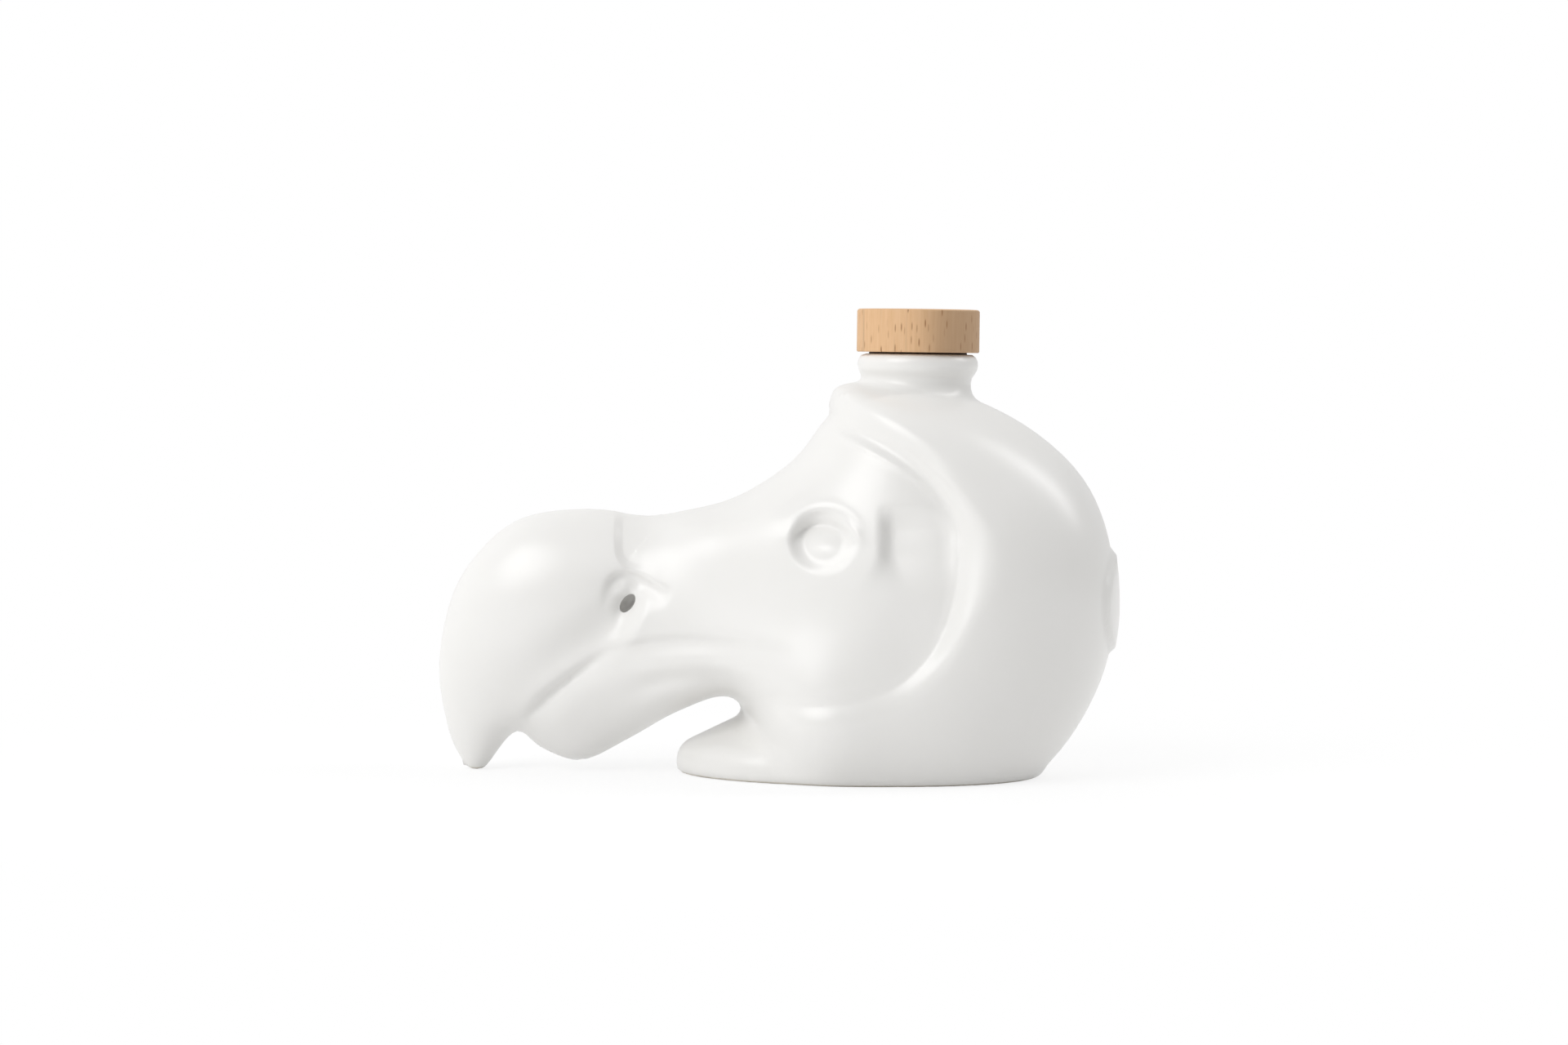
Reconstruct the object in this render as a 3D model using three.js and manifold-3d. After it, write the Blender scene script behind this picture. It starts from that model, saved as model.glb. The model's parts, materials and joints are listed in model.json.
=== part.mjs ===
// Glazed ceramic liquor bottle cast as a hooded bird's head, with a beech-topped cork stopper.
// Millimetres, +Z up. The beak points to -X, the bottle is symmetric about Y = 0 and stands on Z = 0.

import * as THREE from 'three';
import { mergeVertices } from 'three/addons/utils/BufferGeometryUtils.js';
import Module from 'manifold-3d';

// Neck and lip
const NECK_X = 45;
const NECK_DIAMETER = 34.8;
const NECK_FLARE = 3.2;
const NECK_FLARE_HEIGHT = 6;
const NECK_ROOT = 18;
const LIP_TOP = 137.3;
const LIP_DIAMETER = 39.2;
const LIP_BAND = 2.2;
const LIP_FLARE = 4.2;
const LIP_EDGE_RADIUS = 1.6;
const BORE_DIAMETER = 22;
const BORE_CHAMFER = 0.8;

// Stopper
const CAP_DIAMETER = 40;
const CAP_HEIGHT = 14;
const CAP_EDGE_RADIUS = 1;
const WASHER_DIAMETER = 32;
const WASHER_THICKNESS = 0.9;
const SHANK_LENGTH = 20;
const SHANK_CHAMFER = 1.5;
const SPIGOT_DIAMETER = 15;
const SPIGOT_LENGTH = 8;
const FIT_CLEARANCE = 0.3;

// Shell and foot
const WALL = 6;
const FLOOR = 7;
const FOOT_X = 27.1;
const FOOT_LENGTH = 118.6;
const FOOT_WIDTH = 82;
const FOOT_EDGE_HEIGHT = 8.5;
const FOOT_EDGE_ROUND = 4.5;
const FOOT_UNDER_ROUND = 2.5;
const FOOT_TOP_SLOPE = 0.5;
const FOOT_TOP_WIDTH = 34;
const FOOT_FILLET = 7;
const FOOT_SKIN_INSET = 0.4;
const FOOT_RING = 7;
const FOOT_RECESS = 1.2;

// Side outline of the head on its plane of symmetry, from the beak's front down and round
const HEAD_OUTLINE = [
  [-110.4, 34], [-107.2, 13], [-102, 2], [-97.3, -4], [-93, 3], [-84.7, 12.4], [-76, 6.8],
  [-63.2, 3.2], [-47.8, 10.6], [-33, 19.2], [-18, 24.6], [-10.6, 21], [-6, 8], [0, -6], [10, -14],
  [26, -18], [64, -15], [85.5, 0.5], [98.5, 16], [107.6, 36], [110.5, 57], [107, 82], [96, 101.7],
  [74, 118], [46, 127.5], [27.5, 125.8], [20, 123.6], [16.5, 120.8], [16.2, 117.6], [12.6, 112.9],
  [1.8, 99.6], [-16, 88.2], [-38, 83.6], [-62, 85.6], [-83, 82.6], [-96.4, 72.6], [-106.2, 57],
];

// Line through the middle of the head, from the beak's front to the back of the hood
const MIDDLE_LINE = [[-111, 34], [-98, 34], [-80, 43], [-50, 46], [-18, 55], [20, 58], [60, 62], [111, 57]];

// Half-width of the head at places on that side view: x, z, half-width
const HALF_WIDTHS = [
  [-97.3, 6, 5], [-102, 24, 10], [-80, 52, 23], [-64, 13, 9], [-38, 56, 21], [-13, 46, 27],
  [15, 76, 40], [36, 70, 44], [62, 66, 51], [52, 4, 42], [45, 30, 47], [0, 14, 37], [80, 20, 33],
  [45, 115, 31], [99, 58, 32],
];
const WIDTH_SPREAD = 20;

// Hood: the crease where the rolled rim frames the face, from the forehead round to the throat
const HOOD_CREASE = [
  [14, 115.5], [19.1, 112.6], [30.7, 107.1], [43.7, 99.5], [52.6, 90.7], [56.8, 83], [57.4, 77.1],
  [57, 68.6], [55.5, 59.1], [53.1, 50.8], [48, 42], [38.6, 33.1], [27.7, 28.4], [13.1, 25.9],
  [0.1, 25.7], [-9.1, 21.8],
];
const RIM_HEIGHT = 2.8;
const RIM_FRONT_HEIGHT = 1.4;
const RIM_INNER_SLOPE = 2.5;
const RIM_SLOPE = 4.5;
const RIM_SIDE_SLOPE = 10;
const RIM_BAND = 6;
const RIM_FADE = 24;
const RIM_FRONT_FADE = 10;
const RIM_THROAT_FADE = 10;
const FACE_RECESS = 2.4;
const FACE_FRONT_RECESS = 0.6;
const FACE_RECESS_WIDTH = 22;

// Shares of the crease's length where the rim grows to its height and sinks again, and where it is widest
const RIM_GROWTH = [0.15, 0.4];
const RIM_DECAY = [0.55, 0.8];
const RIM_SIDE = 0.43;
const RIM_SIDE_SPAN = 0.15;

// Brow: the fuller roll at the rim's front, over its first shares of the crease's length
const BROW_SPAN = [0.12, 0.32];
const BROW_HEIGHT = 2;
const BROW_SLOPE = 3;
const BROW_FADE = 12;

// Temple: the drop behind the eye
const TEMPLE = [34, 78.8];
const TEMPLE_DROP = 3;
const TEMPLE_BEVEL = 3.6;
const TEMPLE_BAND = 4;
const TEMPLE_FADE = 13;
const TEMPLE_HEIGHT = 9.5;

// Eye: a socket that is deepest under the brow, with the eyeball lying low in it
const EYE = [14.5, 77.7];
const EYE_HALF_LENGTH = 10.9;
const EYE_HALF_HEIGHT = 10.4;
const EYE_BROW_DEPTH = 4;
const EYE_CHEEK_DEPTH = 1.2;
const EYE_FLOOR = 0.5;
const EYEBALL = [14.6, 76.4];
const EYEBALL_HALF_LENGTH = 8.8;
const EYEBALL_HALF_HEIGHT = 6.4;
const EYEBALL_HEIGHT = 2;

// Beak: sheath edge, the horn's rear edge tucked under the cheek, mouth line, jaw fold and nostril
const SHEATH_EDGE = [
  [-52.2, 90], [-51.8, 82], [-51.4, 74.1], [-50.3, 70.5], [-47.6, 68.2], [-42, 67.6], [-34, 68],
];
const SHEATH_STEP = 1.4;
const SHEATH_BEVEL = 2.6;
const SHEATH_REACH = 12;
const HORN_REAR = [
  [-46, 62], [-47.3, 57], [-49.1, 52.8], [-50.9, 50.2], [-53.8, 47.5], [-58.4, 44.5], [-66.5, 40],
  [-77, 33], [-87, 25.5],
];
const HORN_TUCK = 2.6;
const HORN_ROUND = 9;
const CHEEK_STEP = 4;
const CHEEK_SLOPE = 9;
const BRIDGE_SHOULDER = [[-47, 73], [-36, 73.5], [-20, 76], [-4, 83], [8, 91], [17, 98], [25, 104]];
const BRIDGE_SHOULDER_HEIGHT = 1.3;
const BRIDGE_SHOULDER_WIDTH = 7;
const MOUTH = [
  [8, 41.5], [-8, 43.9], [-26.3, 44.9], [-39.5, 43], [-49.5, 40.7], [-57.9, 36.8], [-65.9, 29.6],
  [-71.3, 26.2], [-78.8, 18], [-84, 13],
];
const MOUTH_DEPTH = 1.8;
const MOUTH_WIDTH = 2.7;
const JAW_FOLD = [[-1.2, 28.8], [-15.7, 32.8], [-23.6, 33.4], [-32.8, 32.1], [-42, 29.7], [-51.3, 26.8]];
const JAW_FOLD_DEPTH = 1.1;
const JAW_FOLD_WIDTH = 3.6;
const NOSTRIL = [-47.3, 57];
const NOSTRIL_RADIUS = 3.4;
const NOSTRIL_DEPTH = 3;

// Shares of a line's length over which its carving dies out at each end
const LINE_FADE = 0.3;
const LONG_LINE_FADE = 0.18;

// Mesh sizes: rings along the length in millimetres, turns round each ring in degrees
const RING_STEP = 7;
const END_RING_STEP = 2.4;
const END_INSET = 0.4;
const TURN_STEP = 9;
const HOLLOW_FRONT_INSET = 24;
const HOLLOW_BACK_INSET = 12;
const HOLLOW_RING_STEP = 9;
const HOLLOW_TURN_STEP = 15;
const BEND_REACH = 2.5;
const SHORTEST_EDGE = 1.8;
const SKIN_TOLERANCE = 0.27;
const SKIN_PASSES = 4;
const SETTLE_STEPS = 4;
const SLOPE_STEP = 0.2;
const OUTLINE_STEPS = 160;
const LINE_STEPS = 40;
const ROUND_STEPS = 44;
const FOOT_STEPS = 96;
const RECESS_STEPS = 32;
const ARC_STEPS = 3;
const CAST_STEP = 3;
const HALVINGS = 9;

const wasm = await Module();
wasm.setup();

// Outlines and lines of the side view as evenly drawn points
function drawn(landmarks, closed, count) {
  const points = landmarks.map(([x, z]) => new THREE.Vector3(x, 0, z));
  return new THREE.CatmullRomCurve3(points, closed, 'catmullrom', 0.5).getPoints(count);
}

const outline = drawn(HEAD_OUTLINE, true, OUTLINE_STEPS);
const middleLine = drawn(MIDDLE_LINE, false, LINE_STEPS);
const crease = drawn(HOOD_CREASE, false, 2 * LINE_STEPS);
const sheathEdge = drawn(SHEATH_EDGE, false, LINE_STEPS);
const hornRear = drawn(HORN_REAR, false, LINE_STEPS);
const bridgeShoulder = drawn(BRIDGE_SHOULDER, false, LINE_STEPS);
const mouth = drawn(MOUTH, false, LINE_STEPS);
const jawFold = drawn(JAW_FOLD, false, LINE_STEPS);

// Harmonic mean of the distances to the outline in every direction, negative outside it
function reach(x, z) {
  let sum = 0;
  for (let i = 0; i < OUTLINE_STEPS; i++) {
    const ax = outline[i].x - x;
    const az = outline[i].z - z;
    const bx = outline[i + 1].x - x;
    const bz = outline[i + 1].z - z;
    const a = Math.hypot(ax, az) + 1e-6;
    const b = Math.hypot(bx, bz) + 1e-6;
    const halfTangent = (ax * bz - az * bx) / (a * b + ax * bx + az * bz + 1e-9);
    sum += halfTangent * (1 / a + 1 / b);
  }
  return 2 * Math.PI / sum;
}

const fullnessNodes = HALF_WIDTHS.map(([x, z, half]) => ({ x, z, value: half * half / reach(x, z) }));

function fullness(x, z) {
  let total = 0;
  let weights = 0;
  for (const node of fullnessNodes) {
    const away = ((x - node.x) ** 2 + (z - node.z) ** 2) / (2 * WIDTH_SPREAD ** 2);
    const weight = Math.exp(-away) + 1e-6 / (1 + away);
    total += weight * node.value;
    weights += weight;
  }
  return total / weights;
}

// Square of the head's half-width at a place on the side view
const squaredWidth = (x, z) => fullness(x, z) * reach(x, z);

// Signed distance to a line of the side view, positive on its left, and the share of its length passed
function along(line, x, z) {
  let best = Infinity;
  let offset = 0;
  let share = 0;
  for (let i = 0; i + 1 < line.length; i++) {
    const ex = line[i + 1].x - line[i].x;
    const ez = line[i + 1].z - line[i].z;
    const px = x - line[i].x;
    const pz = z - line[i].z;
    const t = THREE.MathUtils.clamp((px * ex + pz * ez) / (ex * ex + ez * ez), 0, 1);
    const distance = Math.hypot(px - t * ex, pz - t * ez);
    if (distance < best) {
      best = distance;
      offset = Math.sign(ex * pz - ez * px) * distance;
      share = (i + t) / (line.length - 1);
    }
  }
  return { offset, share };
}

const { smoothstep, lerp } = THREE.MathUtils;
const bell = (d, width) => Math.exp(-((d / width) ** 2));

function ridge(line, width, fade, x, z) {
  const { offset, share } = along(line, x, z);
  return bell(offset, width) * smoothstep(share, 0, fade) * smoothstep(1 - share, 0, fade);
}

// Rolled rim of the hood outside the crease and the sunk border of the face inside it
function hoodRelief(x, z) {
  const { offset, share } = along(crease, x, z);
  const [front, throat] = [crease[0], crease[crease.length - 1]];
  const ends = (1 - bell(Math.hypot(x - front.x, z - front.z), RIM_FRONT_FADE))
    * (1 - bell(Math.hypot(x - throat.x, z - throat.z), RIM_THROAT_FADE));
  const grown = smoothstep(share, ...RIM_GROWTH) * (1 - smoothstep(share, ...RIM_DECAY));
  const sunk = lerp(FACE_FRONT_RECESS, FACE_RECESS, grown) * smoothstep(offset, -FACE_RECESS_WIDTH, 0);
  const brow = 1 - smoothstep(share, ...BROW_SPAN);
  const fall = bell(Math.max(offset - RIM_BAND, 0), lerp(RIM_FADE, BROW_FADE, brow));
  const rim = (lerp(RIM_FRONT_HEIGHT, RIM_HEIGHT, grown) + BROW_HEIGHT * brow) * fall;
  const slope = lerp(RIM_SLOPE, RIM_SIDE_SLOPE, bell(share - RIM_SIDE, RIM_SIDE_SPAN)) + BROW_SLOPE * brow;
  const risen = smoothstep(offset, -RIM_INNER_SLOPE, slope);
  return ends * (rim * risen - sunk * (1 - risen));
}

function templeRelief(x, z) {
  const behind = x - TEMPLE[0];
  const drop = smoothstep(behind, -TEMPLE_BEVEL, TEMPLE_BEVEL);
  const fade = bell(Math.max(behind - TEMPLE_BAND, 0), TEMPLE_FADE);
  return -TEMPLE_DROP * drop * fade * bell(z - TEMPLE[1], TEMPLE_HEIGHT);
}

function eyeRelief(x, z) {
  const across = (x - EYE[0]) / EYE_HALF_LENGTH;
  const up = (z - EYE[1]) / EYE_HALF_HEIGHT;
  const socket = Math.hypot(across, up);
  const ball = Math.hypot((x - EYEBALL[0]) / EYEBALL_HALF_LENGTH, (z - EYEBALL[1]) / EYEBALL_HALF_HEIGHT);
  const depth = lerp(EYE_CHEEK_DEPTH, EYE_BROW_DEPTH, (1 + up - across) / 2);
  return EYEBALL_HEIGHT * (1 - smoothstep(ball, 0, 1)) - depth * (1 - smoothstep(socket, EYE_FLOOR, 1));
}

function beakRelief(x, z) {
  const sheath = along(sheathEdge, x, z);
  const sheathFade = smoothstep(sheath.share, 0, LINE_FADE) * smoothstep(1 - sheath.share, 0, LINE_FADE);
  const drop = smoothstep(sheath.offset, -SHEATH_BEVEL, SHEATH_BEVEL) - 0.5;
  const horn = along(hornRear, x, z);
  const hornFade = smoothstep(horn.share, 0, LINE_FADE) * smoothstep(1 - horn.share, 0, 2 * LINE_FADE);
  const cheek = lerp(CHEEK_STEP, CHEEK_SLOPE, smoothstep(horn.share, LINE_FADE, 1 - LINE_FADE));
  const tuck = horn.offset < 0 ? bell(horn.offset, HORN_ROUND) : 1 - smoothstep(horn.offset, 0, cheek);
  return -SHEATH_STEP * sheathFade * bell(sheath.offset, SHEATH_REACH) * drop
    - HORN_TUCK * hornFade * tuck
    - NOSTRIL_DEPTH * bell(Math.hypot(x - NOSTRIL[0], z - NOSTRIL[1]), NOSTRIL_RADIUS)
    - MOUTH_DEPTH * ridge(mouth, MOUTH_WIDTH, LONG_LINE_FADE, x, z)
    - JAW_FOLD_DEPTH * ridge(jawFold, JAW_FOLD_WIDTH, LINE_FADE, x, z)
    + BRIDGE_SHOULDER_HEIGHT * ridge(bridgeShoulder, BRIDGE_SHOULDER_WIDTH, LONG_LINE_FADE, x, z);
}

const relief = (x, z) => hoodRelief(x, z) + templeRelief(x, z) + eyeRelief(x, z) + beakRelief(x, z);

// Longest edge that follows the carving at a place, from how much the carving bends round it
function carvedEdge(x, z) {
  const here = relief(x, z);
  const bendX = relief(x + BEND_REACH, z) + relief(x - BEND_REACH, z) - 2 * here;
  const bendZ = relief(x, z + BEND_REACH) + relief(x, z - BEND_REACH) - 2 * here;
  return BEND_REACH * Math.sqrt(8 * SKIN_TOLERANCE / (Math.abs(bendX) + Math.abs(bendZ)));
}

// What the side view gives at a place: the squared half-width and its slopes
let lastView = {};

function sideView(x, z) {
  if (lastView.x !== x || lastView.z !== z) {
    const step = SLOPE_STEP;
    const square = squaredWidth(x, z);
    const slopeX = (squaredWidth(x + step, z) - square) / step;
    const slopeZ = (squaredWidth(x, z + step) - square) / step;
    lastView = { x, z, square, slopeX, slopeZ };
  }
  return lastView;
}

// Distance to the smooth head, negative inside it
function head(x, y, z) {
  const { square, slopeX, slopeZ } = sideView(x, z);
  return (y * y - square) / Math.hypot(slopeX, 2 * y, slopeZ, 1e-3);
}

const NECK_TOP = LIP_TOP - LIP_EDGE_RADIUS - LIP_BAND - LIP_FLARE;
const carvedHead = (x, y, z) => head(x, y, z) - relief(x, z);

// Smaller of two distances, with the corner between them filled
function softMin(a, b, fillet) {
  const near = Math.max(fillet - Math.abs(a - b), 0) / fillet;
  return Math.min(a, b) - near * near * fillet / 4;
}

// Distance to the foot's oval cone, a little under its turned surface
function footCone(x, y, z) {
  const [halfLength, halfWidth] = [FOOT_LENGTH / 2, FOOT_WIDTH / 2];
  const turn = Math.hypot((x - FOOT_X) / halfLength, y / halfWidth);
  const growth = Math.hypot((x - FOOT_X) / halfLength ** 2, y / halfWidth ** 2);
  const outward = turn * (turn - 1) / growth;
  const upward = (z - FOOT_EDGE_HEIGHT + FOOT_TOP_SLOPE * outward) / Math.hypot(1, FOOT_TOP_SLOPE);
  const tucked = outward + Math.max(FOOT_UNDER_ROUND - z, 0);
  return FOOT_SKIN_INSET - softMin(-tucked, -upward, FOOT_EDGE_ROUND);
}

const filletedHead = (x, y, z) => softMin(carvedHead(x, y, z), footCone(x, y, z), FOOT_FILLET);

// Distance from a point inside a field to its surface in one direction
function cast(field, from, direction) {
  const at = (gone) => field(
    from.x + gone * direction.x, from.y + gone * direction.y, from.z + gone * direction.z);
  let inside = 0;
  let outside = CAST_STEP;
  while (at(outside) < 0) {
    inside = outside;
    outside += CAST_STEP;
  }
  for (let round = 0; round < HALVINGS; round++) {
    const middle = (inside + outside) / 2;
    if (at(middle) < 0) {
      inside = middle;
    } else {
      outside = middle;
    }
  }
  return inside;
}

// Places from one end to the other, closer together inside ranges that have a step of their own
function stations(from, to, coarse, ranges) {
  const places = [from];
  let place = from;
  while (place < to) {
    const range = ranges.find(([low, high]) => place >= low && place < high);
    place += range ? range[2] : coarse;
    places.push(place);
  }
  const scale = (to - from) / (place - from);
  return places.map((value) => from + (value - from) * scale);
}

// Point of the head's middle line at one place along its length
function spine(x) {
  const next = Math.max(1, middleLine.findIndex((point) => point.x >= x));
  const [a, b] = [middleLine[next - 1], middleLine[next]];
  return new THREE.Vector3(x, 0, THREE.MathUtils.mapLinear(x, a.x, b.x, a.z, b.z));
}

// Points and faces of a closed loft along X: each ring is cast out from the spine onto the field's surface
function loft(field, xs, angles) {
  const middles = xs.map((x) => spine(x));
  const halfTurn = angles.map((angle) => THREE.MathUtils.degToRad(angle));
  const fullTurn = [...halfTurn, ...halfTurn.slice(1, -1).reverse().map((angle) => Math.PI - angle)];
  const count = fullTurn.length;
  const points = [];
  for (const middle of middles) {
    for (const angle of fullTurn) {
      const direction = new THREE.Vector3(0, Math.cos(angle), Math.sin(angle));
      points.push(middle.clone().addScaledVector(direction, cast(field, middle, direction)));
    }
  }
  const [first, last] = [middles[0], middles[middles.length - 1]];
  const ahead = new THREE.Vector3(-1, 0, 0);
  const behind = new THREE.Vector3(1, 0, 0);
  points.push(first.clone().addScaledVector(ahead, cast(field, first, ahead)));
  points.push(last.clone().addScaledVector(behind, cast(field, last, behind)));
  const faces = [];
  for (let k = 0; k < count; k++) {
    const next = (k + 1) % count;
    for (let i = 0; i + 1 < xs.length; i++) {
      const [a, b] = [i * count + k, i * count + next];
      const [c, d] = [b + count, a + count];
      faces.push([a, b, c], [a, c, d]);
    }
    const end = (xs.length - 1) * count;
    faces.push([xs.length * count, next, k], [xs.length * count + 1, end + k, end + next]);
  }
  return { points, faces };
}

// Point near a field's surface moved onto it along the field's slope
function settled(field, point, furthest) {
  const moved = point.clone();
  for (let round = 0; round < SETTLE_STEPS; round++) {
    const { x, y, z } = moved;
    const here = field(x, y, z);
    const slope = new THREE.Vector3(
      field(x + SLOPE_STEP, y, z) - here,
      field(x, y + SLOPE_STEP, z) - here,
      field(x, y, z + SLOPE_STEP) - here,
    );
    const move = THREE.MathUtils.clamp(here * SLOPE_STEP / slope.length(), -furthest, furthest);
    moved.addScaledVector(slope.normalize(), -move);
  }
  return moved;
}

// Face split at those of its edges that have a middle of their own
function splitFace([a, b, c], middleOf, shorter) {
  const [ab, bc, ca] = [middleOf(a, b), middleOf(b, c), middleOf(c, a)];
  const split = [ab, bc, ca].filter((middle) => middle >= 0).length;
  if (split === 0) {
    return [[a, b, c]];
  }
  if (split === 3) {
    return [[a, ab, ca], [ab, b, bc], [ca, bc, c], [ab, bc, ca]];
  }
  if (ab < 0 || (split === 2 && ca >= 0)) {
    return splitFace([b, c, a], middleOf, shorter);
  }
  if (split === 1) {
    return [[a, ab, c], [ab, b, c]];
  }
  const rest = shorter(a, bc, ab, c) ? [[a, ab, bc], [a, bc, c]] : [[a, ab, c], [ab, bc, c]];
  return [[ab, b, bc], ...rest];
}

// Skin whose edges are split where they stand off the surface or cross the carving
function refined(field, { points, faces }) {
  const shorter = (a, b, c, d) => points[a].distanceTo(points[b]) < points[c].distanceTo(points[d]);
  let skin = faces;
  for (let pass = 0; pass < SKIN_PASSES; pass++) {
    const middles = new Map();
    const middleOf = (a, b) => {
      const key = Math.min(a, b) * 1e6 + Math.max(a, b);
      if (!middles.has(key)) {
        const middle = points[a].clone().lerp(points[b], 0.5);
        const length = points[a].distanceTo(points[b]);
        const off = Math.abs(field(middle.x, middle.y, middle.z)) > SKIN_TOLERANCE;
        const long = length > SHORTEST_EDGE && (off || length > carvedEdge(middle.x, middle.z));
        middles.set(key, long ? points.push(settled(field, middle, length / 4)) - 1 : -1);
      }
      return middles.get(key);
    };
    skin = skin.flatMap((face) => splitFace(face, middleOf, shorter));
  }
  return { points, faces: skin };
}

function skinGeometry({ points, faces }) {
  const geometry = new THREE.BufferGeometry().setFromPoints(points);
  geometry.setIndex(faces.flat());
  return geometry;
}

// Solids for joining and cutting, and back to geometry
function solid(geometry) {
  geometry.deleteAttribute('normal');
  geometry.deleteAttribute('uv');
  const merged = mergeVertices(geometry, 1e-4);
  const vertProperties = new Float32Array(merged.attributes.position.array);
  const triVerts = new Uint32Array(merged.index.array);
  return new wasm.Manifold(new wasm.Mesh({ numProp: 3, vertProperties, triVerts }));
}

function geometryOf(manifold) {
  const { vertProperties, triVerts } = manifold.getMesh();
  const geometry = new THREE.BufferGeometry();
  geometry.setAttribute('position', new THREE.BufferAttribute(new Float32Array(vertProperties), 3));
  geometry.setIndex(new THREE.BufferAttribute(new Uint32Array(triVerts), 1));
  geometry.computeVertexNormals();
  return geometry;
}

// Solid of revolution about the neck's axis from a path of (radius, height)
function turned(path) {
  return new THREE.LatheGeometry(path.getPoints(ARC_STEPS), ROUND_STEPS)
    .rotateX(Math.PI / 2)
    .translate(NECK_X, 0, 0);
}

function profile(...points) {
  const path = new THREE.Path();
  path.moveTo(...points[0]);
  points.slice(1).forEach((point) => path.lineTo(...point));
  return path;
}

// Neck with its bead lip, rooted in the crown by a flare
function lipSolid() {
  const neckRadius = NECK_DIAMETER / 2;
  const lipRadius = LIP_DIAMETER / 2;
  const bandTop = LIP_TOP - LIP_EDGE_RADIUS;
  const bandFoot = bandTop - LIP_BAND;
  const flareRadius = neckRadius + NECK_FLARE;
  const flareTop = NECK_TOP - LIP_FLARE / 2;
  const flareFoot = flareTop - NECK_FLARE_HEIGHT;
  const root = NECK_TOP - NECK_ROOT;
  const path = profile([0, root], [flareRadius, root], [flareRadius, flareFoot]);
  path.quadraticCurveTo(neckRadius, flareFoot + NECK_FLARE, neckRadius, flareTop);
  path.lineTo(neckRadius, NECK_TOP);
  path.bezierCurveTo(
    neckRadius, NECK_TOP + LIP_FLARE / 2, lipRadius, bandFoot - LIP_FLARE / 2, lipRadius, bandFoot);
  path.lineTo(lipRadius, bandTop);
  path.absarc(lipRadius - LIP_EDGE_RADIUS, bandTop, LIP_EDGE_RADIUS, 0, Math.PI / 2, false);
  path.lineTo(0, LIP_TOP);
  return solid(turned(path));
}

function boreSolid() {
  const radius = BORE_DIAMETER / 2;
  const mouth = radius + BORE_CHAMFER;
  const bottom = LIP_TOP - SHANK_LENGTH - BORE_DIAMETER / 2;
  return solid(turned(profile(
    [0, bottom], [radius, bottom], [radius, LIP_TOP - BORE_CHAMFER], [mouth, LIP_TOP],
    [mouth, LIP_TOP + WALL], [0, LIP_TOP + WALL])));
}

function recessSolid() {
  const shape = new THREE.Shape();
  shape.absellipse(FOOT_X, 0, FOOT_LENGTH / 2 - FOOT_RING, FOOT_WIDTH / 2 - FOOT_RING, 0, 2 * Math.PI);
  const depth = FOOT_RECESS + WALL;
  return solid(new THREE.ExtrudeGeometry(shape, { depth, bevelEnabled: false, curveSegments: RECESS_STEPS })
    .translate(0, 0, -WALL));
}

// Foot as a turned cone with a rounded edge, stretched to its oval plan
function footSolid() {
  const radius = FOOT_LENGTH / 2;
  const topHeight = (inset) => FOOT_EDGE_HEIGHT + FOOT_TOP_SLOPE * inset;
  const flat = radius - FOOT_UNDER_ROUND;
  const path = profile([0, -WALL], [flat, -WALL], [flat, 0]);
  path.quadraticCurveTo(radius, 0, radius, FOOT_UNDER_ROUND);
  path.lineTo(radius, FOOT_EDGE_HEIGHT - FOOT_EDGE_ROUND);
  path.quadraticCurveTo(radius, FOOT_EDGE_HEIGHT, radius - FOOT_EDGE_ROUND, topHeight(FOOT_EDGE_ROUND));
  path.lineTo(radius - FOOT_TOP_WIDTH, topHeight(FOOT_TOP_WIDTH));
  path.lineTo(0, topHeight(FOOT_TOP_WIDTH));
  return solid(new THREE.LatheGeometry(path.getPoints(ARC_STEPS), FOOT_STEPS)
    .rotateX(Math.PI / 2)
    .scale(1, FOOT_WIDTH / FOOT_LENGTH, 1)
    .translate(FOOT_X, 0, 0));
}

const lengths = outline.map((point) => point.x);
const FRONT = Math.min(...lengths);
const BACK = Math.max(...lengths);
const END_RANGES = [[FRONT, FRONT + WALL, END_RING_STEP], [BACK - WALL, BACK, END_RING_STEP]];

function bottleGeometry() {
  const skin = (x, y, z) => Math.max(filletedHead(x, y, z), -WALL - z);
  const rings = stations(FRONT + END_INSET, BACK - END_INSET, RING_STEP, END_RANGES);
  const turns = stations(-90, 90, TURN_STEP, []);
  const outside = solid(skinGeometry(refined(skin, loft(skin, rings, turns))));
  const hollow = (x, y, z) => Math.max(head(x, y, z) + WALL, carvedHead(x, y, z) + WALL, FLOOR - z);
  const hollowRings = stations(FRONT + HOLLOW_FRONT_INSET, BACK - HOLLOW_BACK_INSET, HOLLOW_RING_STEP, []);
  const hollowTurns = stations(-90, 90, HOLLOW_TURN_STEP, []);
  const inside = solid(skinGeometry(loft(hollow, hollowRings, hollowTurns)));
  const table = solid(new THREE.BoxGeometry(2 * BACK, 2 * BACK, BACK).translate(0, 0, -BACK / 2));
  return geometryOf(outside.add(footSolid()).add(lipSolid()).subtract(table)
    .subtract(inside).subtract(boreSolid()).subtract(recessSolid()));
}

// Stopper pieces, from the lip up
const seat = LIP_TOP + WASHER_THICKNESS;
const shankRadius = BORE_DIAMETER / 2 - FIT_CLEARANCE;

function capGeometry() {
  const radius = CAP_DIAMETER / 2;
  const socket = SPIGOT_DIAMETER / 2 + FIT_CLEARANCE;
  const socketTop = seat + SPIGOT_LENGTH + FIT_CLEARANCE;
  const top = seat + CAP_HEIGHT;
  const path = profile([0, socketTop], [socket, socketTop], [socket, seat], [radius, seat]);
  path.lineTo(radius, top - CAP_EDGE_RADIUS);
  path.absarc(radius - CAP_EDGE_RADIUS, top - CAP_EDGE_RADIUS, CAP_EDGE_RADIUS, 0, Math.PI / 2, false);
  path.lineTo(0, top);
  return turned(path);
}

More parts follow.
